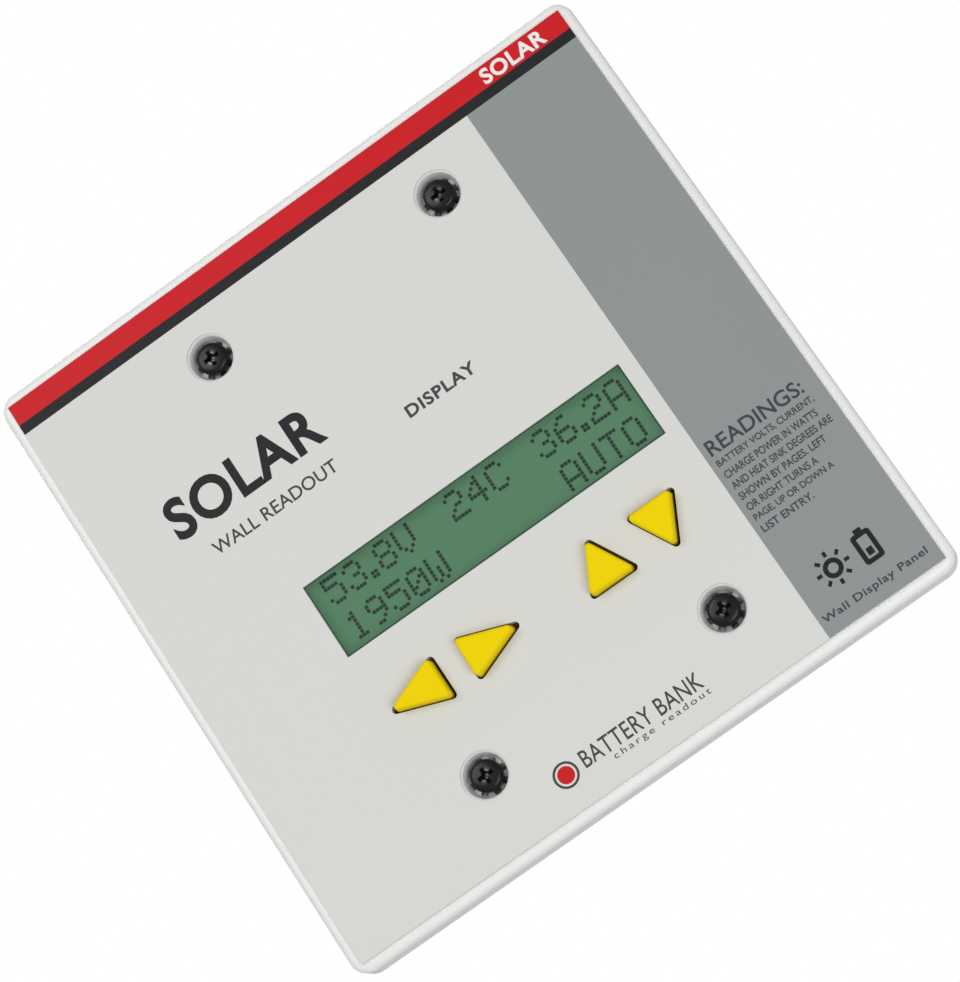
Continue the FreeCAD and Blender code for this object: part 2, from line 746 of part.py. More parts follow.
def make_regulator():
    """A surface-mount voltage regulator: case, metal tab and two leads."""
    case = block("regulator_case", "regulator_x", "regulator_y",
                 f"{BOARD_BACK} - regulator_lift - regulator_thick",
                 "regulator_width", "regulator_height", "regulator_thick")
    finish(group("regulator_piece", [case]), "voltage_regulator")
    metal_low = f"{BOARD_BACK} - regulator_metal"
    tab = block("regulator_tab", "regulator_x",
                "regulator_y + (regulator_height + regulator_tab_height) / 2", metal_low,
                "regulator_tab_width", "regulator_tab_height", "regulator_metal")
    legs = [block(f"regulator_leg{side + 1}", f"regulator_x + {side} * regulator_leg_x",
                  "regulator_y - (regulator_height + regulator_leg_height) / 2", metal_low,
                  "regulator_leg_width", "regulator_leg_height", "regulator_metal")
            for side in (-1, 1)]
    finish(group("regulator_metal_group", [tab] + legs), "regulator_terminals")


def make_capacitors():
    """Two electrolytic cans on square plastic feet."""
    feet, cans = [], []
    for place_name in ("upper", "lower"):
        y = f"{place_name}_can_y"
        feet.append(block(f"{place_name}_can_foot", "can_x", y, f"{BOARD_BACK} - can_foot_thick",
                          "can_foot_side", "can_foot_side", "can_foot_thick"))
        cans.append(rod(f"{place_name}_can", "can_x", y,
                        f"{BOARD_BACK} - can_foot_thick - can_height", "can_radius", "can_height"))
    finish(group("can_feet", feet), "capacitor_feet")
    finish(group("can_group", cans), "capacitor_cans")


def make_crystal():
    """A low crystal can with round ends."""
    low = f"{BOARD_BACK} - crystal_thick"
    ends = [rod(f"crystal_end{side + 1}", f"crystal_x + {side} * crystal_half", "crystal_y", low,
                "crystal_radius", "crystal_thick") for side in (-1, 1)]
    middle = block("crystal_middle", "crystal_x", "crystal_y", low, "2 * crystal_half",
                   "2 * crystal_radius", "crystal_thick")
    finish(fuse("crystal_can", ends + [middle]), "crystal")


# Rows of chip parts on the board: the first one's x, the row's y, how many there are and how far
# apart they stand.
CHIP_ROWS = {
    "resistor": [(-34.0, 24.5, 6, 3.0), (0.0, 24.0, 5, 3.2), (16.0, 12.0, 3, 3.0)],
    "ceramic": [(-14.0, -4.0, 3, 3.0), (2.0, 10.0, 4, 3.2), (-38.0, 10.0, 3, 3.4)],
}


def make_chip_parts(kind, node):
    """The rows of chip resistors, or of ceramic chip capacitors."""
    thick = f"{kind}_thick"
    chips = [block(f"{kind}{row}_{n}", first_x + n * pitch, y, f"{BOARD_BACK} - {thick}",
                   "chip_part_width", "chip_part_height", thick)
             for row, (first_x, y, count, pitch) in enumerate(CHIP_ROWS[kind])
             for n in range(count)]
    finish(group(node + "_group", chips), node)


# ---- fasteners --------------------------------------------------------------------------------

def make_screw(name, kind, point, under_head, outwards, neck=None):
    """A pan-head screw with a cross recess; its head stands outwards (+1) or inwards (-1).

    The kind is the start of its sizes' aliases. A neck, where it has one, is the plain stretch
    between the head and the thread.
    """
    x, y = point
    length, head_height = f"{kind}_length", f"{kind}_head_height"
    shank_low = f"{under_head} - {length}" if outwards > 0 else under_head
    head_low = under_head if outwards > 0 else f"{under_head} - {head_height}"
    slot_low = f"{head_low} + {head_height} - {kind}_slot_depth" if outwards > 0 else head_low
    thread_length = f"{length} - {neck}" if neck else length
    parts = [rod(f"{name}_thread", x, y, shank_low, f"{kind}_radius", thread_length)]
    if neck:
        parts.append(rod(f"{name}_neck", x, y, f"{under_head} - {neck}", f"{kind}_neck_radius", neck))
    head = rod(f"{name}_head", x, y, head_low, f"{kind}_head_radius", head_height)
    doc.recompute()
    end = head.Shape.BoundBox.ZMax if outwards > 0 else head.Shape.BoundBox.ZMin
    parts.append(round_edges(f"{name}_dome", head, f"{kind}_head_round",
                             lambda edge: is_at_height(edge, end)))
    wide, thin = f"{kind}_slot_length", f"{kind}_slot_width"
    blades = [block(f"{name}_blade{n}", x, y, slot_low, width, height, f"{kind}_slot_depth")
              for n, (width, height) in enumerate(((wide, thin), (thin, wide)))]
    return cut(name, fuse(f"{name}_blank", parts), blades)


def make_mounting_screws():
    under_head = "(recess_floor + washer_thick)"
    screws = [make_screw(f"mount_screw{n}", "screw", point, under_head, 1, neck=under_head)
              for n, point in enumerate(MOUNT_POINTS)]
    finish(group("mount_screw_group", screws), "mounting_screws")


def make_board_screws():
    screws = [make_screw(f"board_screw{n}", "fixing", point, BOARD_BACK, -1)
              for n, point in enumerate(BOARD_POINTS)]
    finish(group("board_screw_group", screws), "board_screws")


WASHER_TEETH = 8


def make_lock_washers():
    """External-tooth lock washers: a ring and its teeth, each twisted about its own radius."""
    washers = []
    for n, (x, y) in enumerate(MOUNT_POINTS):
        ring = rod(f"washer{n}_disc", x, y, "recess_floor + (washer_thick - washer_tooth_thick) / 2",
                   "washer_ring", "washer_tooth_thick")
        teeth = []
        for tooth in range(WASHER_TEETH):
            bar = doc.addObject("Part::Box", f"washer{n}_tooth{tooth}")
            bind(bar, Length="washer_radius - washer_tooth_root", Width="washer_tooth_width",
                 Height="washer_tooth_thick")
            turn = Rotation(Vector(0, 0, 1), 360 / WASHER_TEETH * tooth)
            twist = Rotation(Vector(1, 0, 0), sheet.washer_tooth_twist)
            inner = Vector(sheet.washer_tooth_root, 0, 0)
            middle = Vector(0, -sheet.washer_tooth_width / 2, -sheet.washer_tooth_thick / 2)
            bar.Placement = (Placement(Vector(0, 0, 0), turn) * Placement(inner, twist)
                             * Placement(middle, Rotation()))
            teeth.append(bar)
        star = fuse(f"washer{n}_star", teeth)
        place(star, x, y, "recess_floor + washer_thick / 2")
        bore = rod(f"washer{n}_bore", x, y, "recess_floor", "washer_bore", "washer_thick")
        washers.append(cut(f"washer{n}", fuse(f"washer{n}_blank", [ring, star]), [bore]))
    finish(group("washer_group", washers), "lock_washers")


def make_threaded_inserts():
    inserts = []
    for n, (x, y) in enumerate(BOARD_POINTS):
        sleeve = rod(f"insert{n}_sleeve", x, y, "board_front", "insert_radius", "insert_length")
        bore = rod(f"insert{n}_bore", x, y, "board_front", "insert_bore", "insert_length")
        inserts.append(cut(f"insert{n}", sleeve, [bore]))
    finish(group("insert_group", inserts), "threaded_inserts")


# ---- build, check and write -------------------------------------------------------------------

make_front_plate()
make_graphic_overlay()
make_display_window()
make_display_gasket()
make_lcd_bezel()
make_lcd_cell()
for key in KEYS:
    make_key(key)
    make_switch(key)
make_main_board()
make_jack_housing()
make_jack_contacts()
make_chip("controller", per_side=14)
make_chip("transceiver", per_side=4)
make_regulator()
make_capacitors()
make_crystal()
make_chip_parts("resistor", "chip_resistors")
make_chip_parts("ceramic", "chip_capacitors")
make_mounting_screws()
make_lock_washers()
make_board_screws()
make_threaded_inserts()
doc.recompute()

failed = [item.Name for item in doc.Objects if {"Invalid", "Error"} & set(item.State)]
failed += [item.Label for item in pieces if item.Shape.isNull() or not item.Shape.isValid()]
if failed:
    raise RuntimeError(f"failed: {failed}")

os.makedirs("parts", exist_ok=True)
for item in pieces:
    item.Shape.exportStep(f"parts/{item.Label}.step")
print(f"{len(pieces)} sub-parts written")
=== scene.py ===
from math import acos, ceil, copysign, cos, pi, radians, sin

import bmesh
import bpy
from mathutils import Matrix, Vector


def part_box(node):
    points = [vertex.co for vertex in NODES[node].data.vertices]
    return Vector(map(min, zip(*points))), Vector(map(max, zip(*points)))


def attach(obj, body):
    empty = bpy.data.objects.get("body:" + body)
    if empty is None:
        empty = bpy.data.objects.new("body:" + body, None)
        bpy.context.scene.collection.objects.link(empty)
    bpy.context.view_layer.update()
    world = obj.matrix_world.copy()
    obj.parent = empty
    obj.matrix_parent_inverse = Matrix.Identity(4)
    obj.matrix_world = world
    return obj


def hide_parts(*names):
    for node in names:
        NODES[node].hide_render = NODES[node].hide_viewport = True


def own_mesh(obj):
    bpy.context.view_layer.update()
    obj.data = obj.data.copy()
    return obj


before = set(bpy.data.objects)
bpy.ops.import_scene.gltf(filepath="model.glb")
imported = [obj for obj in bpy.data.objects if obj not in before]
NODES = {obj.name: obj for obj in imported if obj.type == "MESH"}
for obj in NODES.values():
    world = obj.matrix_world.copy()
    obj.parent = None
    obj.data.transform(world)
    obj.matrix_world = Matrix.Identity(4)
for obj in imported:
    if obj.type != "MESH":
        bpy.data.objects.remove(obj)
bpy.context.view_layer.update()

MM = 0.001

# A wall-plate remote meter, upright as it hangs: its face looks along -Y and its top along +Z.
# Lengths are millimetres, and a place on the face or on the board is an (x, z) pair from the
# centre of the screw pattern.


# ---- places that come from the frame ----

def box(node):
    """A node's lowest and highest corners."""
    return [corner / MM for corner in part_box(node)]


def solids(node):
    """The corners of each separate solid of a node, in rows from the bottom, left to right."""
    mesh = NODES[node].data
    points = [tuple(round(value / MM, 3) for value in vertex.co) for vertex in mesh.vertices]
    parent = {point: point for point in points}

    def root(point):
        while parent[point] != point:
            point = parent[point]
        return point

    for polygon in mesh.polygons:
        first = root(points[polygon.vertices[0]])
        for index in polygon.vertices[1:]:
            parent[root(points[index])] = first
    clusters = {}
    for point in set(points):
        clusters.setdefault(root(point), []).append(point)
    boxes = [tuple(Vector(pick(axis) for axis in zip(*cluster)) for pick in (min, max))
             for cluster in clusters.values()]
    return sorted(boxes, key=lambda pair: (round(pair[0].z, 1), round(pair[0].x, 1)))


def layout(pair):
    """A pair of corners as the (x, z) of their middle, then width and height."""
    low, high = pair
    return (low.x + high.x) / 2, (low.z + high.z) / 2, high.x - low.x, high.z - low.z


def centre(pair):
    return layout(pair)[:2]


def solid_places(node):
    """The middles of a node's solids."""
    return [centre(pair) for pair in solids(node)]


KEYS = ("left", "right", "up", "down")
FACE_Y = box("graphic_overlay")[0].y
BOARD_BACK = box("main_board")[1].y


# ---- materials ----

def linear(colour, factor=1.0):
    """A display colour, 0 to 255 a channel, as the shaders' linear one, times a factor."""
    def decode(value):
        value /= 255
        return value / 12.92 if value <= 0.04045 else ((value + 0.055) / 1.055) ** 2.4
    return tuple(min(1.0, decode(value) * factor) for value in colour) + (1.0,)


class Surface:
    """A procedural material: colour that drifts, uneven gloss, and whatever detail is added."""

    def __init__(self, name, colour, roughness, vary=0.03, vary_scale=60.0, rough_vary=0.05,
                 metallic=0.0, coat=0.0, specular=0.5, alpha=1.0, level=1.0):
        self.material = bpy.data.materials.new(name)
        self.material.use_nodes = True
        self.nodes = self.material.node_tree.nodes
        self.links = self.material.node_tree.links
        self.shader = self.nodes["Principled BSDF"]
        self.place = self.node("TexCoord").outputs["Object"]
        self.height = None
        drift = self.noise(vary_scale, detail=5.0)
        self.paint = self.mix(drift, linear(colour, level * (1 - vary)),
                              linear(colour, level * (1 + vary)))
        gloss = self.spread(drift, 0.0, 1.0, max(0.02, roughness - rough_vary),
                            min(1.0, roughness + rough_vary))
        self.fill(self.shader, Metallic=metallic, Coat_Weight=coat, Coat_Roughness=0.12,
                  Specular_IOR_Level=specular, Alpha=alpha, Roughness=gloss,
                  Base_Color=self.paint)

    def fill(self, node, **inputs):
        """Set or link a node's inputs; an underscore stands for a space in an input's name."""
        for name, value in inputs.items():
            socket = node.inputs[name.replace("_", " ")]
            if isinstance(value, bpy.types.NodeSocket):
                self.links.new(value, socket)
            else:
                socket.default_value = value
        return self

    def node(self, kind, **inputs):
        node = self.nodes.new("ShaderNode" + kind)
        self.fill(node, **inputs)
        return node

    def noise(self, scale, detail=3.0, stretch=(1.0, 1.0, 1.0)):
        place = self.node("Mapping", Vector=self.place, Scale=stretch).outputs["Vector"]
        return self.node("TexNoise", Vector=place, Scale=scale, Detail=detail).outputs["Fac"]

    def wave(self, scale, direction):
        texture = self.node("TexWave", Vector=self.place, Scale=scale)
        texture.bands_direction = direction
        return texture.outputs["Fac"]

    def mix(self, factor, first, second):
        """A mixed colour; its sockets share their names with the node's other kinds of value."""
        node = self.node("Mix", Factor=factor)
        node.data_type = "RGBA"
        for socket, value in ((node.inputs[6], first), (node.inputs[7], second)):
            if isinstance(value, tuple):
                socket.default_value = value
            else:
                self.links.new(value, socket)
        return node.outputs[2]

    def spread(self, value, from_low, from_high, to_low=0.0, to_high=1.0):
        return self.node("MapRange", Value=value, From_Min=from_low, From_Max=from_high,
                         To_Min=to_low, To_Max=to_high).outputs["Result"]

    def axis(self, vector, name):
        return self.node("SeparateXYZ", Vector=vector).outputs[name]

    def repaint(self, factor, colour):
        """Mix another colour in where the factor is high."""
        self.paint = self.mix(factor, self.paint, linear(colour))
        return self.fill(self.shader, Base_Color=self.paint)

    def relief(self, value, height, strength=0.6):
        """A texture's height, in millimetres, on top of any relief before it."""
        bump = self.node("Bump", Strength=strength, Distance=height * MM, Height=value)
        if self.height:
            self.fill(bump, Normal=self.height)
        self.height = bump.outputs["Normal"]
        return self.fill(self.shader, Normal=self.height)

    def grain(self, scale, height, stretch=(1.0, 1.0, 1.0)):
        return self.relief(self.noise(scale, stretch=stretch), height)

    def ribs(self, scale, direction, height):
        """Straight ribs, such as an insert's knurl."""
        return self.relief(self.wave(scale, direction), height)

    def stripes(self, scale, direction, colour):
        """Fine layers of another colour, such as a contact strip's."""
        return self.repaint(self.spread(self.wave(scale, direction), 0.45, 0.55), colour)

    def specks(self, scale, amount, colour):
        """Fine specks of another colour over a share of the surface."""
        return self.repaint(self.spread(self.noise(scale, detail=2.0), 0.72 - amount, 0.74), colour)

    def glow_through(self, weight, depth):
        """Let light travel through the plastic to a depth in millimetres, as it does in white."""
        return self.fill(self.shader, Subsurface_Weight=weight, Subsurface_Scale=depth * MM,
                         Subsurface_Radius=(1.0, 1.0, 1.0))

    def backlight_and_painted_glow(self, colour, strength):
        """Light of the surface's own: partly a backlight's real glow, partly painted light that
        evens out the shade on the surface.
        """
        return self.fill(self.shader, Emission_Color=linear(colour), Emission_Strength=strength)

    def painted_shade_behind(self, front_y, back_y, colour):
        """Painted shade: another colour between two heights along Y, where a part sits in the shade
        of a gap.
        """
        y = self.axis(self.place, "Y")
        return self.repaint(self.spread(y, front_y * MM, back_y * MM), colour)

    def worn_edges(self, colour):
        """Another colour along the convex edges, where handling rubs the finish."""
        edge = self.node("NewGeometry").outputs["Pointiness"]
        return self.repaint(self.spread(edge, 0.54, 0.66), colour)


def ink(name, colour, vary=0.01):
    """Screen ink on the film's satin surface."""
    return Surface(name, colour, 0.5, vary=vary, vary_scale=35, specular=0.25).grain(4200, 0.006)


def moulded(name, colour, roughness, texture, coat=0.0):
    """Moulded plastic with the tool's fine spark texture and slow flow marks."""
    return Surface(name, colour, roughness, vary=0.02, coat=coat, specular=0.45).grain(
        1700, texture).grain(240, texture / 2)


def metal(name, colour, roughness, grain=0.006, stretch=(1, 1, 1), vary=0.05):
    """Plated or drawn metal, with the marks of its making along the stretch."""
    return Surface(name, colour, roughness, vary=vary, vary_scale=300, metallic=1.0).grain(
        1500, grain, stretch)


def board_mask():
    """Green solder mask over woven glass, with the bare laminate showing on the cut edges."""
    surface = Surface("board_mask", (18, 92, 50), 0.34, vary=0.06, vary_scale=90, coat=0.3)
    weave = surface.mix(surface.wave(400, "X"), (0.0, 0.0, 0.0, 1.0), surface.wave(400, "Z"))
    surface.relief(weave, 0.02, strength=0.35)
    surface.repaint(surface.spread(surface.noise(220), 0.62, 0.72, 0.0, 0.35), (30, 112, 62))
    facing = surface.node("Math")
    facing.operation = "ABSOLUTE"
    normal = surface.node("NewGeometry").outputs["True Normal"]
    surface.links.new(surface.axis(normal, "Y"), facing.inputs[0])
    laminate = surface.spread(facing.outputs["Value"], 0.6, 0.4)
    return surface.repaint(laminate, (176, 160, 104))


PLATE_WHITE = Surface("plate_white", (235, 235, 234), 0.36, vary=0.006, coat=0.06,
                      specular=0.45).grain(1700, 0.006).grain(200, 0.005).glow_through(0.8, 1.6)
PRINT_LIGHT = ink("print_light", (213, 213, 209), vary=0.006)
PRINT_GREY = ink("print_grey", (139, 145, 145))
PRINT_RED = ink("print_red", (200, 0, 16), vary=0.02)
PRINT_BLACK = ink("print_black", (20, 21, 25), vary=0.03)
PRINT_WHITE = ink("print_white", (236, 232, 231))
PRINT_TEXT = ink("print_text", (60, 63, 66), vary=0.03)
FILM_EDGE = ink("film_edge", (222, 222, 219))
# Painted shade: the keys' flanks below the face turn brown, for the shade in the gaps round them.
KEY_YELLOW = Surface("key_yellow", (238, 210, 0), 0.5, vary=0.015, specular=0.06).grain(
    1700, 0.008).painted_shade_behind(FACE_Y - 0.9, FACE_Y + 0.9, (122, 84, 4))
# The readout field is half coloured and half glowing: partly the backlight's real glow, partly
# painted light that takes out the shade at the window's edges.
LCD_GREEN = Surface("lcd_green", (84, 128, 96), 0.4, level=0.5, vary=0.008, vary_scale=25,
                    specular=0.05).grain(2500, 0.002).backlight_and_painted_glow((80, 124, 92), 0.48)
LCD_DOT = Surface("lcd_dot", (22, 40, 32), 0.35, vary=0.04, specular=0.1)
PANE = Surface("window_clear", (235, 245, 238), 0.06, vary=0.01, rough_vary=0.02,
               specular=0.05, alpha=0.01)
# Painted shade: a dark ring at the pane's edge, for the shade in the gap round the window, made as
# ink.
PANE_EDGE_SHADE = ink("pane_edge_shade", (40, 62, 50), vary=0.04)
GLASS = Surface("lcd_glass", (70, 96, 78), 0.12, vary=0.02, coat=0.4)
LIGHT_GUIDE = Surface("light_guide", (206, 220, 150), 0.5, vary=0.02).grain(900, 0.02)
FOAM = Surface("gasket_foam", (30, 30, 32), 0.9, vary=0.12, vary_scale=700).grain(
    1400, 0.12).specks(1900, 0.05, (60, 60, 62))
BEZEL_STEEL = Surface("bezel_steel", (44, 44, 46), 0.42, vary=0.06, metallic=0.35).grain(
    1900, 0.01).worn_edges((120, 120, 120))
ZEBRA = Surface("contact_rubber", (176, 158, 160), 0.6, vary=0.03).stripes(
    1600, "X", (34, 32, 33)).grain(900, 0.02)
BOARD_MASK = board_mask()
MASKED_COPPER = Surface("masked_copper", (42, 124, 70), 0.34, vary=0.05,
                        coat=0.3).grain(900, 0.006)
LEGEND_WHITE = Surface("legend_white", (232, 232, 226), 0.6, vary=0.04,
                       vary_scale=900).grain(2500, 0.01)
SOLDER = metal("solder", (198, 199, 202), 0.26, grain=0.02, vary=0.08)
LEAD_TIN = metal("lead_tin", (190, 191, 194), 0.32, grain=0.008)
BRIGHT_STEEL = metal("bright_steel", (196, 196, 198), 0.24, stretch=(1, 1, 8))
CAN_METAL = metal("can_metal", (206, 207, 210), 0.22, stretch=(1, 0.1, 1))
ZINC = metal("zinc", (186, 188, 192), 0.3, grain=0.01, vary=0.1)
CONTACT_GOLD = metal("contact_gold", (226, 184, 92), 0.22, grain=0.004, stretch=(8, 8, 1))
BRASS = Surface("insert_brass", (214, 178, 96), 0.3, metallic=1.0, vary_scale=200).ribs(
    1100, "X", 0.05).grain(1500, 0.01)
BLACK_OXIDE = Surface("black_oxide", (34, 34, 36), 0.3, vary=0.1, vary_scale=500,
                      metallic=0.7).grain(2200, 0.012).worn_edges((96, 96, 98))
SWITCH_BODY = moulded("switch_body", (38, 38, 40), 0.5, 0.014)
PLUNGER = moulded("switch_plunger", (46, 46, 48), 0.4, 0.008)
JACK_PLASTIC = moulded("jack_plastic", (33, 33, 35), 0.44, 0.016, coat=0.05)
CHIP = Surface("chip_moulding", (32, 32, 35), 0.55, vary=0.06, vary_scale=160).grain(
    2600, 0.012).specks(5200, 0.04, (62, 62, 66))
RESISTOR_FILM = Surface("resistor_film", (30, 30, 33), 0.25, vary=0.05, coat=0.5)
RESISTOR_CERAMIC = Surface("resistor_ceramic", (226, 224, 216), 0.6).grain(2600, 0.01)
CAPACITOR_CERAMIC = Surface("capacitor_ceramic", (176, 142, 104), 0.55, vary=0.08,
                            vary_scale=900).grain(2600, 0.012)
SLEEVE_MARK = ink("sleeve_mark", (40, 42, 48))


# ---- mesh tools ----

def add_piece(name, mesh, materials, replaces=(), body="plate"):
    """A new piece with its materials, riding on a body."""
    piece = bpy.data.objects.new(name, mesh)
    bpy.context.scene.collection.objects.link(piece)
    for surface in materials:
        mesh.materials.append(surface.material)
    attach(piece, body)
    if replaces:
        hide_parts(*replaces)
    return piece


def sharpen(bm, angle):
    """Smooth faces, with the edges that turn by more than the angle left sharp."""
    for face in bm.faces:
        face.smooth = True
    for edge in bm.edges:
        edge.smooth = len(edge.link_faces) == 2 and edge.calc_face_angle() < radians(angle)


def finished(bm, name, smooth=None):
    """A mesh from a bmesh in metres; smooth is the angle up to which its edges are soft."""
    bmesh.ops.recalc_face_normals(bm, faces=bm.faces)
    if smooth is not None:
        sharpen(bm, smooth)
    mesh = bpy.data.meshes.new(name)
    bm.to_mesh(mesh)
    bm.free()
    return mesh


def mesh_of(name, build, smooth=None):
    """A mesh made by build(bm) in millimetres."""
    bm = bmesh.new()
    build(bm)
    bmesh.ops.scale(bm, vec=(MM, MM, MM), verts=bm.verts)
    return finished(bm, name, smooth)


def opened(node):
    """A bmesh of a CAD node, with the corners that its faces share merged."""
    bm = bmesh.new()
    bm.from_mesh(NODES[node].data)
    bmesh.ops.remove_doubles(bm, verts=bm.verts, dist=1e-7)
    return bm


def make_piece(name, build, materials, smooth=None, replaces=()):
    """A new piece whose mesh is made by build(bm)."""
    return add_piece(name, mesh_of(name, build, smooth), materials, replaces)


def add_faces(bm, rings):
    """Faces between each ring of vertices and the next; a ring may be a single vertex."""
    count = max(len(ring) for ring in rings)
    faces = []
    for ring, following in zip(rings, rings[1:]):
        for i in range(count):
            j = (i + 1) % count
            corners = (ring[i % len(ring)], ring[j % len(ring)],
                       following[j % len(following)], following[i % len(following)])
            faces.append(bm.faces.new(list(dict.fromkeys(corners))))
    return faces


def add_ring(bm, outline, y):
    return [bm.verts.new((x, y, z)) for x, z in outline]


def add_shell(bm, rings):
    """A closed shape through rings of as many vertices, and its faces."""
    return [bm.faces.new(rings[0]), bm.faces.new(rings[-1][::-1])] + add_faces(bm, rings)


def add_loft(bm, outlines):
    """A closed shape through (y, outline) pairs whose outlines have as many points."""
    return add_shell(bm, [add_ring(bm, outline, y) for y, outline in outlines])


def add_prism(bm, outline, low_y, high_y):
    return add_loft(bm, [(low_y, outline), (high_y, outline)])


def add_band(bm, outer, inner, low_y, high_y):
    """A closed prism along Y between two outlines of as many points."""
    rings = [add_ring(bm, outline, y) for outline, y in
             ((outer, low_y), (outer, high_y), (inner, high_y), (inner, low_y))]
    add_faces(bm, rings + rings[:1])


def circle(x, z, radius, count=32):
    turns = [2 * pi * i / count for i in range(count)]
    return [(x + radius * cos(turn), z + radius * sin(turn)) for turn in turns]


def add_turned(bm, x, z, profile, count=32):
    """A turned shape about an axis along Y; the profile's (radius, y) points start and end on it."""
    add_faces(bm, [add_ring(bm, circle(x, z, radius, count) if radius else [(x, z)], y)
                   for radius, y in profile])


def add_thread(bm, x, z, start, end, core, crest, pitch, count=24):
    """A screw thread about an axis along Y, from start to end, with flat ends."""
    form = ((0.0, core), (0.35, crest), (0.5, crest), (0.85, core))
    turns = ceil((end - start) / pitch) + 1
    columns = []
    for i in range(count):
        angle = 2 * pi * i / count
        column = []
        for turn in range(-1, turns):
            for part, radius in form:
                y = start + (turn + part + i / count) * pitch
                kept = min(max(y, start), end)
                radius = radius if kept == y else core
                column.append(bm.verts.new((x + radius * cos(angle), kept,
                                            z + radius * sin(angle))))
        columns.append(column)
    for i, column in enumerate(columns):
        ahead = columns[i + 1] if i + 1 < count else columns[0][len(form):]
        for k in range(min(len(column), len(ahead)) - 1):
            bm.faces.new((column[k], ahead[k], ahead[k + 1], column[k + 1]))
    own = [vertex for column in columns for vertex in column]
    bmesh.ops.remove_doubles(bm, verts=own, dist=1e-4)
    open_edges = [edge for edge in bm.edges if edge.is_boundary]
    bmesh.ops.holes_fill(bm, edges=open_edges, sides=0)


def rounded(x, z, width, height, radius, steps=5):
    """A rectangle's outline about (x, z), with round corners."""
    points = []
    for quarter, (i, j) in enumerate(((1, 1), (-1, 1), (-1, -1), (1, -1))):
        for step in range(steps + 1):
            turn = radians(90 * (quarter + step / steps))
            points.append((x + i * (width / 2 - radius) + radius * cos(turn),
                           z + j * (height / 2 - radius) + radius * sin(turn)))
    return points


def spun(points, x, z, degrees):
    """Points about the origin, turned and then moved to (x, z)."""
    along, across = cos(radians(degrees)), sin(radians(degrees))
    return [(x + a * along - b * across, z + a * across + b * along) for a, b in points]


def bar(start, end, width):
    """A rectangle along X from start to end, about the X axis."""
    return [(start, -width / 2), (end, -width / 2), (end, width / 2), (start, width / 2)]


def cross(x, z, length, width, web):
    """The outline of a cross recess: four arms whose inner corners are cut off by the web."""
    half, arm = length / 2, width / 2
    quarter = ((half, -arm), (half, arm), (arm + web, arm), (arm, arm + web))
    return [point for turn in (0, 90, 180, 270) for point in spun(quarter, x, z, turn)]


def carve(mesh, cutter, smooth=None):
    """The mesh less the cutter, by an exact boolean."""
    blank, tool = (bpy.data.objects.new("carving", data) for data in (mesh, cutter))
    for item in (blank, tool):
        bpy.context.scene.collection.objects.link(item)
    modifier = blank.modifiers.new("carve", "BOOLEAN")
    modifier.operation = "DIFFERENCE"
    modifier.solver = "EXACT"
    modifier.object = tool
    evaluated = blank.evaluated_get(bpy.context.evaluated_depsgraph_get())
    bm = bmesh.new()
    bm.from_mesh(evaluated.to_mesh())
    for item in (blank, tool):
        bpy.data.objects.remove(item)
    return finished(bm, mesh.name, smooth)


def soften(node, width, material, body="plate"):
    """Stand a copy of a CAD node in its place, with its sharp edges broken by a small radius."""
    bm = opened(node)
    bmesh.ops.dissolve_limit(bm, angle_limit=radians(0.5), verts=bm.verts, edges=bm.edges)
    sharp = [edge for edge in bm.edges
             if len(edge.link_faces) == 2 and edge.calc_face_angle() > radians(40)]
    bmesh.ops.bevel(bm, geom=sharp, offset=width * MM, segments=2, profile=0.5,
                    affect="EDGES", clamp_overlap=True)
    name = node + "_finished"
    return add_piece(name, finished(bm, name, 35), (material,), [node], body)


# ---- cover plate and printed overlay ----

STRIPE_LOW, LINE_LOW, PANEL_LEFT = 51.51, 49.64, 34.15
INK = 0.02


def build_overlay():
    """The film, cut along the borders of its printed areas, so that each area is its own faces."""
    bm = opened("graphic_overlay")
    for point, normal in (((0, 0, STRIPE_LOW), (0, 0, 1)), ((0, 0, LINE_LOW), (0, 0, 1)),
                          ((PANEL_LEFT, 0, 0), (1, 0, 0))):
        bmesh.ops.bisect_plane(bm, geom=bm.verts[:] + bm.edges[:] + bm.faces[:],
                               plane_co=Vector(point) * MM, plane_no=normal, dist=1e-7)
    for face in bm.faces:
        face.smooth = False
        x, _, z = face.calc_center_median() / MM
        if abs(face.normal.y) < 0.5:
            face.material_index = 4
        elif z > STRIPE_LOW:
            face.material_index = 1
        elif z > LINE_LOW:
            face.material_index = 2
        else:
            face.material_index = 3 if x > PANEL_LEFT else 0
    add_piece("overlay_film", finished(bm, "overlay_film"),
              (PRINT_LIGHT, PRINT_RED, PRINT_BLACK, PRINT_GREY, FILM_EDGE),
              ["graphic_overlay"])


def print_shape(name, outlines, material, bands=()):
    """Flat ink on the overlay: filled outlines, and bands between pairs of outlines."""
    def build(bm):
        for outline in outlines:
            add_prism(bm, outline, FACE_Y - INK, FACE_Y)
        for outer, inner in bands:
            add_band(bm, outer, inner, FACE_Y - INK, FACE_Y)
    make_piece(name, build, (material,))


def print_words(name, words, left, right, low, high, material, bold, spacing):
    """Plain generic words in the built-in face, fitted to a box on the overlay."""
    curve = bpy.data.curves.new(name, "FONT")
    curve.body = words
    curve.offset = bold
    curve.space_character = spacing
    curve.resolution_u = 6
    curve.extrude = INK
    holder = bpy.data.objects.new(name, curve)
    mesh = bpy.data.meshes.new_from_object(holder)
    bpy.data.objects.remove(holder)
    xs, ys = ([vertex.co[axis] for vertex in mesh.vertices] for axis in (0, 1))
    first_x, first_y = min(xs), min(ys)
    wide = (right - left) / (max(xs) - first_x)
    tall = (high - low) / (max(ys) - first_y)
    for vertex in mesh.vertices:
        y = FACE_Y - INK if vertex.co.z > 0 else FACE_Y
        vertex.co = Vector((left + (vertex.co.x - first_x) * wide, y,
                            low + (vertex.co.y - first_y) * tall)) * MM
    mesh.materials.clear()
    add_piece(name, mesh, (material,))


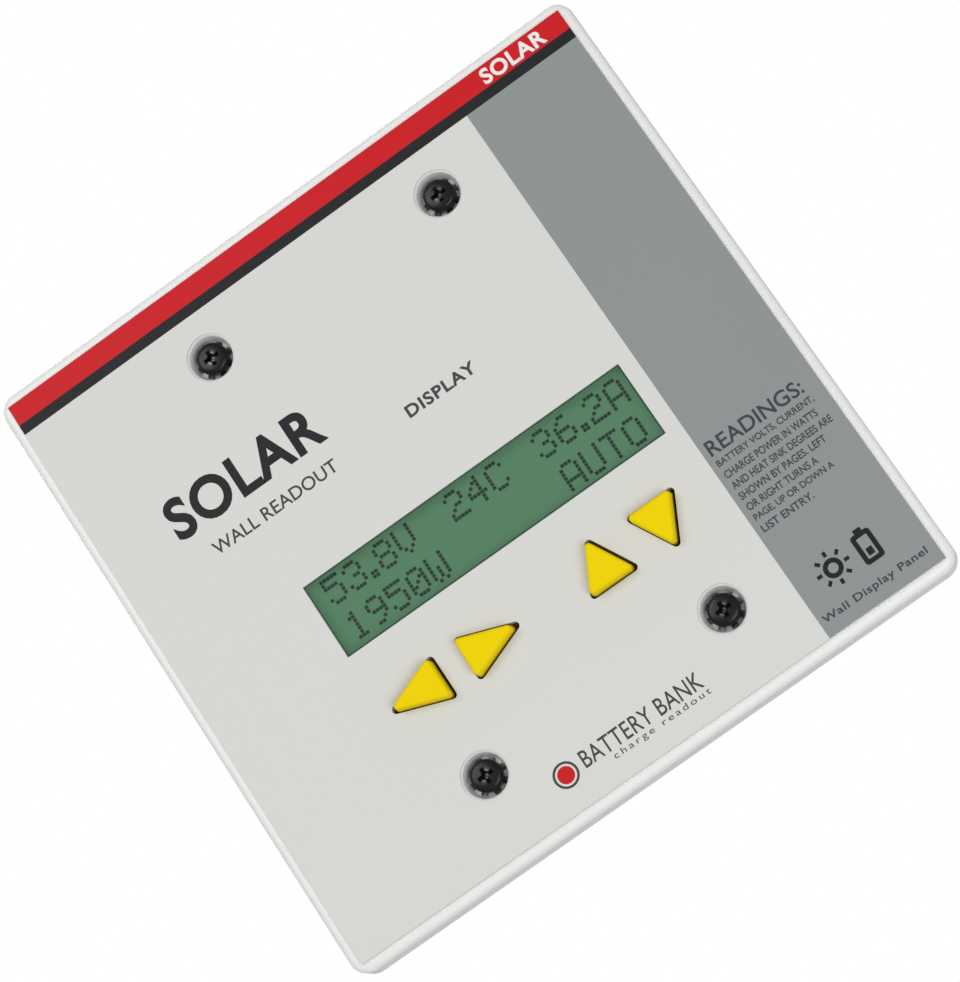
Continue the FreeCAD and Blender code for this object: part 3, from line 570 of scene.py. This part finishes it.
def build_words():
    """The generic words on the overlay, each fitted to its left, right, low and high limits."""
    legend = [("BATTERY VOLTS, CURRENT,", 53.6), ("CHARGE POWER IN WATTS", 52.8),
              ("AND HEAT SINK DEGREES ARE", 54.2), ("SHOWN BY PAGES. LEFT", 51.6),
              ("OR RIGHT TURNS A", 48.6), ("PAGE, UP OR DOWN A", 50.3), ("LIST ENTRY.", 44.9)]
    first_low, pitch, tall = -22.96, 2.1, 1.32
    lines = [(f"legend_{line}", words, 35.2, right, first_low - pitch * line,
              first_low - pitch * line + tall, PRINT_TEXT, 0.016, 1.0)
             for line, (words, right) in enumerate(legend)]
    for name, *row in (
            ("name", "SOLAR", -43.8, -14.0, 18.6, 26.0, PRINT_BLACK, 0.03, 1.08),
            ("caption", "WALL READOUT", -39.9, -15.4, 13.3, 15.6, PRINT_TEXT, 0.008, 1.0),
            ("heading", "DISPLAY", -1.2, 12.2, 13.3, 15.5, PRINT_TEXT, 0.028, 1.12),
            ("stripe_name", "SOLAR", 39.6, 52.0, 51.9, 54.7, PRINT_WHITE, 0.03, 1.08),
            ("legend_heading", "READINGS:", 35.2, 53.2, -20.75, -18.1, PRINT_TEXT, 0.012, 1.0),
            *lines,
            ("place", "Wall Display Panel", 34.9, 54.4, -53.4, -51.7, PRINT_TEXT, 0.016, 1.1),
            ("maker", "BATTERY BANK", -8.9, 13.9, -50.1, -47.2, PRINT_TEXT, 0.004, 1.04),
            ("maker_line", "charge readout", -4.2, 14.2, -51.9, -50.5, PRINT_TEXT, 0.0, 1.35)):
        print_words(f"print_{name}", *row)


def build_pictograms():
    """A sun and a battery on the panel, and a plain disc beside the lower words."""
    sun_x, sun_z = 40.9, -46.4
    rays = [spun(bar(2.1, 3.0, 0.6), sun_x, sun_z, turn) for turn in range(0, 360, 45)]
    sun = (circle(sun_x, sun_z, 1.65), circle(sun_x, sun_z, 0.85))

    case_x, case_z, case_wide, case_high, wall = 47.2, -46.7, 3.5, 5.3, 0.8
    case = (rounded(case_x, case_z, case_wide, case_high, 0.6, 3),
            rounded(case_x, case_z, case_wide - 2 * wall, case_high - 2 * wall, 0.15, 3))
    cap = rounded(case_x, case_z + case_high / 2 + 0.35, 1.4, 0.7, 0.15, 2)
    charge = rounded(case_x, case_z - 0.8, 1.1, 1.3, 0.1, 2)
    print_shape("print_pictograms", rays + [cap, charge], PRINT_BLACK, [sun, case])

    disc_x, disc_z = -12.2, -49.1
    print_shape("print_disc", [circle(disc_x, disc_z, 1.45)], PRINT_RED)
    print_shape("print_disc_ring", [], PRINT_TEXT,
                [(circle(disc_x, disc_z, 2.2), circle(disc_x, disc_z, 1.8))])


def build_ejector_marks():
    """The faint rings that the mould's ejector pins leave inside the plate's front wall."""
    inner_y, line, rise = box("front_plate")[0].y + 2.2, 0.2, 0.05
    pins = [(x, z, 1.7) for x in (-46.5, 0.0, 46.5) for z in (-44.0, 44.0)]
    pins += [(x, z, 1.3) for x in (-47.2, 47.2) for z in (-15.0, 15.0)]

    def rings(bm):
        for x, z, radius in pins:
            add_band(bm, circle(x, z, radius, 40), circle(x, z, radius - line, 40),
                     inner_y, inner_y + rise)
    make_piece("ejector_marks", rings, (PLATE_WHITE,), 40)


# ---- readout ----

# Dots of each sign, five across and seven down, from the top row.
SIGNS = {
    "0": "01110 10001 10011 10101 11001 10001 01110",
    "1": "00100 01100 00100 00100 00100 00100 01110",
    "2": "01110 10001 00001 00110 01000 10000 11111",
    "3": "01110 10001 00001 00110 00001 10001 01110",
    "4": "00010 00110 01010 10010 11111 00010 00010",
    "5": "11111 10000 11110 00001 00001 10001 01110",
    "6": "00110 01000 10000 11110 10001 10001 01110",
    "8": "01110 10001 10001 01110 10001 10001 01110",
    "9": "01110 10001 10001 01111 00001 00010 01100",
    ".": "00 00 00 00 00 11 11",
    "A": "01110 10001 10001 10001 11111 10001 10001",
    "C": "01110 10001 10000 10000 10000 10001 01110",
    "O": "01110 10001 10001 10001 10001 10001 01110",
    "T": "11111 00100 00100 00100 00100 00100 00100",
    "U": "10001 10001 10001 10001 10001 10001 01110",
    "V": "10001 10001 10001 10001 10001 01010 00100",
    "W": "10001 10001 10001 10101 10101 10101 01010",
}
DOT_PITCH_X, DOT_PITCH_Z, DOT_SIZE, DOT_ROUND = 0.667, 0.70, 0.6, 0.1
# Each reading and the middle of its first dot. The glass sits a little askew behind the window.
READOUT = [("53.8V", -28.5, -0.27), ("24C", -4.4, -0.27), ("36.2A", 12.9, -0.27),
           ("1950W", -28.4, -7.17), ("AUTO", 14.0, -7.17)]
READOUT_TILT = -0.5


def build_readout():
    """The lit field of the display, the dark dots on it and a dark ring of painted shade at the edge
    of the pane.
    """
    layer = 0.02
    glass, pane = box("lcd_front_glass"), box("display_window")
    glass_y, pane_y = glass[0].y, pane[0].y
    field_y = glass_y - layer
    glass_wide, glass_high = layout(glass)[2:]
    pane_x, pane_z = centre(pane)

    def field(bm):
        margin_x, margin_z = 3.4, 4.4
        add_prism(bm, rounded(pane_x, pane_z, glass_wide - margin_x, glass_high - margin_z, 0.2, 2),
                  field_y, glass_y)
    make_piece("readout_field", field, (LCD_GREEN,))

    def dots(bm):
        for words, left, top in READOUT:
            for sign in words:
                rows = SIGNS[sign].split()
                lit = [(left + across * DOT_PITCH_X - pane_x, top - down * DOT_PITCH_Z - pane_z)
                       for down, row in enumerate(rows)
                       for across, mark in enumerate(row) if mark == "1"]
                for x, z in spun(lit, pane_x, pane_z, READOUT_TILT):
                    add_prism(bm, rounded(x, z, DOT_SIZE, DOT_SIZE, DOT_ROUND, 2),
                              field_y - layer, field_y)
                left += (len(rows[0]) + 1) * DOT_PITCH_X
    make_piece("readout_dots", dots, (LCD_DOT,))

    def border(bm):
        # The pane's plug, inside the flange that holds it behind the plate, ringed by painted shade
        # for the shade in the gap round the window.
        wide, high, line = 62.3, 13.65, 0.2
        add_band(bm, rounded(pane_x, pane_z, wide, high, 0.25, 3),
                 rounded(pane_x, pane_z, wide - 2 * line, high - 2 * line, 0.15, 3),
                 pane_y - layer / 2, pane_y)
    make_piece("pane_edge_shade", border, (PANE_EDGE_SHADE,))


# ---- screws ----

def head_profile(radius, height, under, out):
    """A pan head's profile, from the middle of its crown to the edge of its seat.

    Out is -1 for a head that stands out along -Y and 1 along +Y, and under is the seat's y.
    """
    top = under + out * height
    crown = [(0.0, top), (0.4 * radius, top - out * 0.015 * height),
             (0.65 * radius, top - out * 0.05 * height)]
    shoulder_round = 0.38 * height
    for step in range(7):
        turn = radians(18 + 72 * step / 6)
        crown.append((radius - shoulder_round * (1 - sin(turn)),
                      top - out * (0.06 * height + shoulder_round * (1 - cos(turn)))))
    return crown + [(radius, under + out * 0.1 * height), (radius * 0.97, under)]


def make_screws(name, node, head, recess, neck, thread, out, material):
    """Pan-head screws with cross recesses and cut threads in the place of a node's solids.

    Head is its radius and height, recess the cross's length, width and depth, neck its radius
    and length, and thread its core radius, crest radius and pitch. Out is as for head_profile.
    """
    length, width, depth = recess
    neck_radius, neck_length = neck
    core, lead_in = thread[0], 0.4
    screws = []
    for low, high in solids(node):
        top, tip = (low.y, high.y) if out < 0 else (high.y, low.y)
        under = top - out * head[1]
        screws.append((*centre((low, high)), top, under, under - out * neck_length, tip))

    def heads(bm):
        for x, z, _, under, neck_end, _ in screws:
            add_turned(bm, x, z, head_profile(*head, under, out) + [
                (neck_radius, under), (neck_radius, neck_end), (0.0, neck_end)], 48)

    def recesses(bm):
        for x, z, top, *_ in screws:
            add_loft(bm, [(top + out * 0.2, cross(x, z, length * 1.08, width * 1.05, width * 0.5)),
                          (top - out * depth * 0.6, cross(x, z, length * 0.6, width, width * 0.3)),
                          (top - out * depth, cross(x, z, width * 1.2, width * 0.5, width * 0.1))])

    def threads(bm):
        for x, z, _, _, neck_end, tip in screws:
            point = tip + out * lead_in
            add_thread(bm, x, z, *sorted((neck_end, point)), *thread)
            add_turned(bm, x, z, [(0.0, point), (core, point), (core * 0.7, tip), (0.0, tip)], 24)
    carved = carve(mesh_of(f"{name}_heads", heads), mesh_of("recesses", recesses), 35)
    add_piece(f"{name}_heads", carved, (material,), [node])
    make_piece(f"{name}_threads", threads, (material,), 50)


def build_screws():
    make_screws("mounting_screw", "mounting_screws", (2.7, 1.95), (2.9, 0.7, 1.2), (1.33, 3.63),
                (1.22, 1.5, 0.5), -1, BLACK_OXIDE)
    make_screws("board_screw", "board_screws", (2.25, 1.7), (2.5, 0.6, 1.0), (0.98, 1.6),
                (0.98, 1.2, 0.45), 1, ZINC)


# ---- switches ----

def build_switch(key):
    """A tactile switch: rounded plastic, melted rivets on the cover, and the snap dome inside."""
    soften(f"switch_base_{key}", 0.1, SWITCH_BODY)
    soften(f"switch_cover_{key}", 0.06, BRIGHT_STEEL)
    soften(f"switch_plunger_{key}", 0.1, PLUNGER, f"{key}_key")
    cover = box(f"switch_cover_{key}")
    x, z = centre(cover)
    cover_y, rivet_reach = cover[0].y, 2.4

    def rivets(bm):
        for across in (-rivet_reach, rivet_reach):
            for up in (-rivet_reach, rivet_reach):
                add_turned(bm, x + across, z + up,
                           [(0.0, cover_y - 0.12), (0.25, cover_y - 0.1), (0.38, cover_y),
                            (0.0, cover_y)], 16)
    make_piece(f"switch_rivets_{key}", rivets, (SWITCH_BODY,), 60)

    apex_y, rim_y = (corner.y for corner in box(f"switch_dome_{key}"))
    radius, skin, steps = 4.33, 0.08, 8
    middle_y = apex_y + radius

    def dome(bm):
        profile = []
        for distance, order in ((radius, range(steps + 1)), (radius - skin, range(steps, -1, -1))):
            for step in order:
                turn = acos((middle_y - rim_y) / distance) * step / steps
                profile.append((distance * sin(turn), middle_y - distance * cos(turn)))
        add_turned(bm, x, z, profile, 40)
    piece = make_piece(f"snap_dome_{key}", dome, (BRIGHT_STEEL,), 60,
                         [f"switch_dome_{key}"])
    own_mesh(piece)


# ---- circuit board ----

TRACK_RISE, BORE_RISE, VIA_RISE, LEGEND_RISE, PAD_RISE = 0.03, 0.032, 0.04, 0.045, 0.05
FINE, BROAD, WIDE = 0.3, 0.5, 1.6
# From the middle of a chip part to the ends of its pads, and on to a near, middle or far via.
PAD_REACH, NEAR_VIA, MIDDLE_VIA, FAR_VIA = 0.9, 2.4, 2.6, 3.5


def lay(bm, outline, rise):
    """A flat shape on the board's back."""
    add_prism(bm, outline, BOARD_BACK, BOARD_BACK + rise)


def add_strip(bm, points, width):
    """A track on the board's back along (x, z) points, mitred where it turns."""
    places = [Vector(point) for point in points]
    steps = [(b - a).normalized() for a, b in zip(places, places[1:])]
    top = BOARD_BACK + TRACK_RISE
    rings = []
    for i, place in enumerate(places):
        before, after = steps[max(0, i - 1)], steps[min(i, len(steps) - 1)]
        along = (before + after).normalized()
        across = Vector((-along.y, along.x))
        reach = across * width / 2 / across.dot(Vector((-after.y, after.x)))
        left, right = place + reach, place - reach
        rings.append([bm.verts.new((spot.x, y, spot.y)) for spot, y in (
            (left, BOARD_BACK), (left, top), (right, top), (right, BOARD_BACK))])
    add_shell(bm, rings)


def jog(start, turn_z, end, corner=0.4):
    """A track's points from start to end: straight, across at turn_z with cut corners, straight."""
    (x1, z1), (x2, z2) = start, end
    if abs(x2 - x1) < 0.05:
        return [start, end]
    side = copysign(min(corner, abs(x2 - x1) * 0.45), x2 - x1)
    rise = copysign(abs(side), z2 - z1)
    return [start, (x1, turn_z - rise), (x1 + side, turn_z), (x2 - side, turn_z),
            (x2, turn_z + rise), end]


def build_tracks():
    """The tracks under the solder mask, from the leads to the parts around them."""
    def split(places, axis, limit):
        """The places below and above a limit on one axis, each from left to right."""
        return [sorted(place for place in places if (place[axis] > limit) == above)
                for above in (False, True)]

    chip_z = centre(box("controller_chip_leads"))[1]
    lower, upper = split(solid_places("controller_chip_leads"), 1, chip_z)
    bus_low, bus_high = split(solid_places("transceiver_chip_leads"), 1, 0)
    feedback, resistors = split(solid_places("chip_resistors"), 1, 20)
    ladder, network = split(resistors, 0, -10)
    filters, capacitors = split(solid_places("chip_capacitors"), 1, 0)
    inputs, bypass = split(capacitors, 0, 0)
    tracks, vias = [], []

    def track(*points, width=FINE):
        tracks.append((points, width))

    def to_via(start, via):
        vias.append(via)
        track(start, via)

    def above(place, rise):
        return place[0], place[1] + rise

    def pad_to_via(place, reach):
        """From a chip part's pad to a via; a negative reach is below the part."""
        to_via(above(place, copysign(PAD_REACH, reach)), above(place, reach))

    for i, place in enumerate(upper):
        if i < len(ladder):
            track(*jog(place, 20.0 + 0.5 * i, above(ladder[i], -PAD_REACH)))
            pad_to_via(ladder[i], FAR_VIA if i % 2 else NEAR_VIA)
        else:
            to_via(place, (place[0], 20.8 + i % 3))
    for i, place in enumerate(lower):
        if i in (4, 5):
            track(*jog(place, 1.6, (-26.4 if i == 4 else -17.6, -4.4)))
        elif i in (9, 11, 13):
            part = filters[(i - 9) // 2]
            track(*jog(place, 2.0, above(part, PAD_REACH)))
            pad_to_via(part, -MIDDLE_VIA)
        else:
            to_via(place, (place[0], 7.6 if i == 1 else 7.4 - 0.95 * (i % 3)))
    for i, place in enumerate(bus_low):
        track(*jog((-1.9 + 1.27 * i, -16.5), -9.0 - 0.7 * i, place))
    for i, (place, part, end) in enumerate(zip(bus_high, bypass, network)):
        track(*jog(place, 4.4 + 0.7 * i, above(part, -PAD_REACH)))
        track(*jog(above(part, PAD_REACH), 16.0, above(end, -PAD_REACH), 1.0))
    for i, place in enumerate(network):
        pad_to_via(place, FAR_VIA if i % 2 else NEAR_VIA)
    input_z, feedback_z = 7.4, 9.2
    for place in inputs:
        pad_to_via(place, MIDDLE_VIA)
        track(above(place, -PAD_REACH), (place[0], input_z), width=BROAD)
    track((inputs[0][0] - BROAD / 2, input_z), (-28.6, input_z), (-28.6, -8.4), (-26.0, -11.0),
          (-26.0, -22.5), width=BROAD)
    for place in feedback:
        track(above(place, -PAD_REACH), (place[0], feedback_z), width=BROAD)
        pad_to_via(place, NEAR_VIA)
    track((feedback[0][0] - BROAD / 2, feedback_z), (25.7, feedback_z), (25.7, 12.0), width=BROAD)
    track((6.0, -19.7), (28.6, -19.7), (34.0, -14.3), (34.0, 8.0), (30.3, 11.7), (30.3, 12.6),
          width=WIDE)
    track((-19.5, -22.5), (-15.85, -22.5))
    track((14.35, -23.45), (17.2, -23.45), (19.2, -21.45))
    to_via((-9.35, -22.5), (-9.35, -14.0))
    # The copper under the regulator's tab carries its heat through six vias of its own.
    vias += [(x, z) for x in (24.6, 28.0, 31.4) for z in (24.4, 26.4)]

    def copper(bm):
        for points, width in tracks:
            add_strip(bm, points, width)
        lay(bm, rounded(28.0, 23.8, 9.6, 7.6, 0.6, 3), TRACK_RISE)
    make_piece("board_tracks", copper, (MASKED_COPPER,))

    def rings(bm):
        for via in vias:
            add_band(bm, circle(*via, 0.5, 20), circle(*via, 0.22, 20),
                     BOARD_BACK, BOARD_BACK + VIA_RISE)
    make_piece("board_vias", rings, (SOLDER,))

    def bores(bm):
        for via in vias:
            lay(bm, circle(*via, 0.23, 16), BORE_RISE)
    make_piece("board_via_bores", bores, (SWITCH_BODY,))


def add_fillet(bm, x, z, wide, high, top_wide, top_high, rise):
    """A mound of solder on a pad, with its sides drawn up to what it holds."""
    add_loft(bm, [(BOARD_BACK, rounded(x, z, wide, high, 0.15, 2)),
                  (BOARD_BACK + PAD_RISE, rounded(x, z, wide, high, 0.15, 2)),
                  (BOARD_BACK + rise * 0.45, rounded(x, z, (wide + 2 * top_wide) / 3,
                                                     (high + 2 * top_high) / 3, 0.1, 2)),
                  (BOARD_BACK + rise, rounded(x, z, top_wide, top_high, 0.05, 2))])


def build_solder():
    """Solder on every pad: under the leads, at the chip parts' ends and around the pins."""
    def surface_joints(bm):
        for chip in ("controller_chip", "transceiver_chip"):
            middle_z = centre(box(chip))[1]
            for low, high in solids(f"{chip}_leads"):
                foot = low.z + 0.45 if low.z < middle_z else high.z - 0.45
                add_fillet(bm, (low.x + high.x) / 2, foot, 0.66, 1.7, 0.42, 0.9, 0.16)
        for node, rise in (("chip_resistors", 0.3), ("chip_capacitors", 0.55)):
            for low, high in solids(node):
                for z in (low.z + 0.1, high.z - 0.1):
                    add_fillet(bm, (low.x + high.x) / 2, z, 1.5, 1.0, 1.2, 0.22, rise)
        for pair in solids("regulator_terminals"):
            x, z, wide, high = layout(pair)
            add_fillet(bm, x, z, wide + 0.6, high + 0.6, wide - 0.1, high - 0.1, 0.2)
        x, z, wide, _ = layout(box("crystal"))
        for side in (-1, 1):
            add_fillet(bm, x + side * (wide / 2 - 0.3), z, 2.4, 2.0, 1.0, 0.6, 0.3)
        for pair in solids("capacitor_feet"):
            x, z, _, high = layout(pair)
            for side in (-1, 1):
                add_fillet(bm, x, z + side * (high / 2 + 0.2), 1.6, 1.4, 0.7, 0.5, 0.35)
    make_piece("surface_joints", surface_joints, (SOLDER,), 50)

    cone = [(radius, BOARD_BACK + rise) for radius, rise in (
        (0.0, 0.0), (1.0, 0.0), (1.0, PAD_RISE), (0.72, 0.3), (0.5, 0.65), (0.42, 1.05),
        (0.3, 1.3), (0.0, 1.4))]

    def pin_joints(bm):
        for key in KEYS:
            for place in solid_places(f"switch_pins_{key}"):
                add_turned(bm, *place, cone, 24)
        x, z, _, high = layout(box("lcd_bezel"))
        tab_reach = 24.0
        for across in (-tab_reach, tab_reach):
            for side in (-1, 1):
                add_fillet(bm, x + across, z + side * (high / 2 - 0.2), 3.6, 1.9, 2.3, 0.6, 0.8)
    make_piece("pin_joints", pin_joints, (SOLDER,), 50)


def build_legend():
    """The white component outlines and the dots that mark the first pins."""
    line = 0.18

    def add_line(bm, outer, inner):
        add_band(bm, outer, inner, BOARD_BACK, BOARD_BACK + LEGEND_RISE)

    def add_frame(bm, x, z, wide, high):
        add_line(bm, rounded(x, z, wide, high, 0.1, 1),
                 rounded(x, z, wide - 2 * line, high - 2 * line, 0.05, 1))

    def legend(bm):
        for node, margin_x, margin_z in (("controller_chip", 1.6, 4.6), ("crystal", 2.6, 1.8),
                                         ("transceiver_chip", 1.6, 5.0)):
            x, z, wide, high = layout(box(node))
            add_frame(bm, x, z, wide + margin_x, high + margin_z)
        x, _, wide, _ = layout(box("jack_housing"))
        jack_low, jack_high = box("main_board")[0].z + 0.4, box("jack_housing")[1].z + 0.5
        add_frame(bm, x, (jack_low + jack_high) / 2, wide + 1.0, jack_high - jack_low)
        for node in ("controller_chip_leads", "transceiver_chip_leads"):
            low, _ = box(node)
            lay(bm, circle(low.x - 1.2, low.z - 0.2, 0.4, 24), LEGEND_RISE)
        side, cut = 4.9, 1.5
        corners = [(-side, -side), (side, -side), (side, side - cut), (side - cut, side),
                   (cut - side, side), (-side, side - cut)]
        inner = [(a * (1 - line / side), b * (1 - line / side)) for a, b in corners]
        for x, z in solid_places("capacitor_feet"):
            add_line(bm, spun(corners, x, z, 0), spun(inner, x, z, 0))
            for along, across in ((0.9, 0.2), (0.2, 0.9)):
                lay(bm, rounded(x - 6.2, z + 4.0, along, across, 0.05, 1), LEGEND_RISE)
        for node in ("chip_resistors", "chip_capacitors"):
            for pair in solids(node):
                x, z, wide, _ = layout(pair)
                for way in (-1, 1):
                    lay(bm, rounded(x + way * (wide / 2 + 0.42), z, 0.15, 2.2, 0.05, 1),
                        LEGEND_RISE)
        for key in KEYS:
            add_frame(bm, *centre(box(f"switch_base_{key}")), 5.4, 6.4)
    make_piece("board_legend", legend, (LEGEND_WHITE,))


def build_chip(node, dimple_place):
    """A moulded chip body: sides drafted from the parting line, and a dimple at the first pin."""
    low, high = box(node)
    x, z, wide, tall = layout((low, high))

    def body(bm):
        add_loft(bm, [(y, rounded(x, z, wide - inset, tall - inset, radius, 2))
                      for y, inset, radius in ((low.y, 0.3, 0.1), ((low.y + high.y) / 2, 0.0, 0.12),
                                               (high.y - 0.06, 0.34, 0.12), (high.y, 0.46, 0.1))])

    def dimple(bm):
        add_turned(bm, low.x + dimple_place, low.z + dimple_place,
                   [(0.0, high.y + 0.1), (0.55, high.y + 0.1), (0.5, high.y - 0.1),
                    (0.0, high.y - 0.12)], 24)
    mesh = carve(mesh_of(f"{node}_body", body), mesh_of("dimple", dimple))
    add_piece(f"{node}_body", mesh, (CHIP,), [node])


def build_chip_parts(node, body_material, film):
    """Chip resistors or capacitors: a ceramic body between two plated ends."""
    ends_long = 0.38

    def parts(bm):
        for low, high in solids(node):
            x, z, wide, tall = layout((low, high))
            prisms = [(0, rounded(x, z, wide - 0.06, tall - 0.1, 0.05, 2),
                       low.y + 0.04, high.y - 0.04)]
            for side in (low.z + ends_long / 2, high.z - ends_long / 2):
                prisms.append((1, rounded(x, side, wide, ends_long, 0.08, 2), low.y, high.y))
            if film:
                prisms.append((2, rounded(x, z, wide - 0.16, tall - 2 * ends_long, 0.05, 2),
                               high.y - 0.05, high.y - 0.01))
            for index, *prism in prisms:
                for face in add_prism(bm, *prism):
                    face.material_index = index
    make_piece(f"{node}_finished", parts, (body_material, LEAD_TIN, RESISTOR_FILM),
                 replaces=[node])


def build_cans():
    """Electrolytic cans: crimped at the seal, rounded at the rim, scored to vent and marked."""
    low_y, high_y = (corner.y for corner in box("capacitor_cans"))
    places = solid_places("capacitor_cans")
    top = high_y - 0.12

    def cans(bm):
        seal = [(0.0, 0.0), (3.75, 0.0), (3.95, 0.15), (4.0, 0.5), (4.0, 1.3), (3.85, 1.65),
                (3.7, 1.95), (3.7, 2.25), (3.85, 2.55), (4.0, 2.9)]
        rim = [(4.0, 0.7), (3.94, 0.4), (3.76, 0.14), (3.5, 0.0), (3.3, 0.0)]
        profile = [(radius, low_y + rise) for radius, rise in seal]
        profile += [(radius, high_y - drop) for radius, drop in rim] + [(3.15, top), (0.0, top)]
        for place in places:
            add_turned(bm, *place, profile, 64)
    mesh = mesh_of("cans", cans)
    for turn in (0, 60, 120):
        def score(bm, turn=turn):
            for x, z in places:
                add_prism(bm, spun(bar(-2.3, 2.3, 0.18), x, z, turn), top - 0.1, top + 0.2)
        mesh = carve(mesh, mesh_of("score", score), 30)
    add_piece("capacitor_cans_finished", mesh, (CAN_METAL,), ["capacitor_cans"])

    def marks(bm):
        # A filled arc over the side of the negative lead: a third of a turn about the axis.
        turns = [radians(120 + 7.5 * step) for step in range(17)]
        arc = [(3.05 * cos(turn), 3.05 * sin(turn)) for turn in turns]
        for x, z in places:
            add_prism(bm, spun(arc, x, z, 0), top - 0.02, top + 0.015)
    make_piece("capacitor_marks", marks, (SLEEVE_MARK,))


def build_crystal():
    """A low crystal can with a rounded top on its base flange."""
    low, high = box("crystal")
    x, z, wide, tall = layout((low, high))

    def can(bm):
        steps = [(low.y, 0.0), (low.y + 0.4, 0.0), (low.y + 0.45, 0.12), (low.y + 0.46, 0.5),
                 (high.y - 0.6, 0.5), (high.y - 0.3, 0.58), (high.y - 0.1, 0.78), (high.y, 1.15)]
        add_loft(bm, [(y, rounded(x, z, wide - inset, tall - inset, (tall - inset) / 2, 10))
                      for y, inset in steps])
    make_piece("crystal_can", can, (CAN_METAL,), 40, ["crystal"])


# ---- stage ----

# The camera looks up at the face from below, turned as the plate is laid.
CAMERA_PLACE = Vector((56.65, -552.22, -144.93))
CAMERA_TARGET = Vector((1.59, FACE_Y, -3.27))
CAMERA_ROLL = 33.92
CAMERA_LENS = 129.6
FLOOR_Z = -1.2
FLOOR_ALPHA = 0.35
ROOM_LIGHT = 0.45


def aim(item, place, target, roll=0.0):
    """Put a camera or a light at a place in metres, looking at the target, and link it."""
    turn = (target - place).to_track_quat("-Z", "Y").to_matrix().to_4x4()
    item.matrix_world = Matrix.Translation(place) @ turn @ Matrix.Rotation(-roll, 4, "Z")
    bpy.context.scene.collection.objects.link(item)


def add_camera():
    camera = bpy.data.objects.new("camera", bpy.data.cameras.new("camera"))
    camera.data.lens = CAMERA_LENS
    camera.data.sensor_width = 36.0
    aim(camera, CAMERA_PLACE * MM, CAMERA_TARGET * MM, radians(CAMERA_ROLL))
    bpy.context.scene.camera = camera


def add_light(name, place, power, size):
    """A soft square light that looks at the middle of the plate."""
    light = bpy.data.objects.new(name, bpy.data.lights.new(name, "AREA"))
    light.data.energy = power
    light.data.size = size
    aim(light, Vector(place), Vector())


def add_stage():
    """A pale floor well under the plate, which hangs from its screws, and a white room."""
    def ground(bm):
        bmesh.ops.create_grid(bm, x_segments=1, y_segments=1, size=40000.0)
    floor = bpy.data.objects.new("floor", mesh_of("floor", ground))
    floor.location.z = FLOOR_Z
    pale = Surface("floor_pale", (244, 244, 243), 0.8, vary=0.01, alpha=FLOOR_ALPHA)
    floor.data.materials.append(pale.material)
    bpy.context.scene.collection.objects.link(floor)

    world = bpy.data.worlds.new("room")
    bpy.context.scene.world = world
    world.use_nodes = True
    nodes, links = world.node_tree.nodes, world.node_tree.links
    room = nodes["Background"]
    backdrop = nodes.new("ShaderNodeBackground")
    for background, strength in ((room, ROOM_LIGHT), (backdrop, 1.0)):
        background.inputs["Color"].default_value = (1.0, 1.0, 1.0, 1.0)
        background.inputs["Strength"].default_value = strength
    path = nodes.new("ShaderNodeLightPath")
    choose = nodes.new("ShaderNodeMixShader")
    links.new(path.outputs["Is Camera Ray"], choose.inputs["Fac"])
    links.new(room.outputs["Background"], choose.inputs[1])
    links.new(backdrop.outputs["Background"], choose.inputs[2])
    links.new(choose.outputs["Shader"], nodes["World Output"].inputs["Surface"])


# ---- the whole meter ----

# CAD nodes shown as they are, with the material each one takes.
CARRIED = {
    "front_plate": PLATE_WHITE, "display_window": PANE, "display_gasket": FOAM,
    "lcd_bezel": BEZEL_STEEL, "lcd_front_glass": GLASS, "lcd_rear_glass": GLASS,
    "lcd_contact_strip_upper": ZEBRA, "lcd_contact_strip_lower": ZEBRA,
    "lcd_backlight": LIGHT_GUIDE, "main_board": BOARD_MASK, "jack_contacts": CONTACT_GOLD,
    "controller_chip_leads": LEAD_TIN, "transceiver_chip_leads": LEAD_TIN,
    "regulator_terminals": LEAD_TIN, "lock_washers": BLACK_OXIDE, "threaded_inserts": BRASS,
}
CARRIED.update({f"key_{key}": KEY_YELLOW for key in KEYS})
CARRIED.update({f"switch_pins_{key}": LEAD_TIN for key in KEYS})
for node, surface in CARRIED.items():
    NODES[node].data.materials.clear()
    NODES[node].data.materials.append(surface.material)

build_overlay()
build_words()
build_pictograms()
build_ejector_marks()
build_readout()
build_screws()
for key in KEYS:
    build_switch(key)
build_tracks()
build_solder()
build_legend()
for node, dimple_place in (("controller_chip", 1.3), ("transceiver_chip", 0.9),
                           ("voltage_regulator", 1.0)):
    build_chip(node, dimple_place)
build_chip_parts("chip_resistors", RESISTOR_CERAMIC, True)
build_chip_parts("chip_capacitors", CAPACITOR_CERAMIC, False)
build_cans()
build_crystal()
soften("capacitor_feet", 0.2, JACK_PLASTIC)
soften("jack_housing", 0.2, JACK_PLASTIC)

bpy.context.scene.view_settings.view_transform = "Standard"
add_stage()
add_light("key_light", (-0.4, -0.95, 0.45), 4.2, 0.6)
add_light("fill_light", (0.3, -0.76, -0.48), 3.5, 0.5)
add_light("back_light", (-0.3, 0.9, 0.7), 8.0, 0.9)
add_camera()
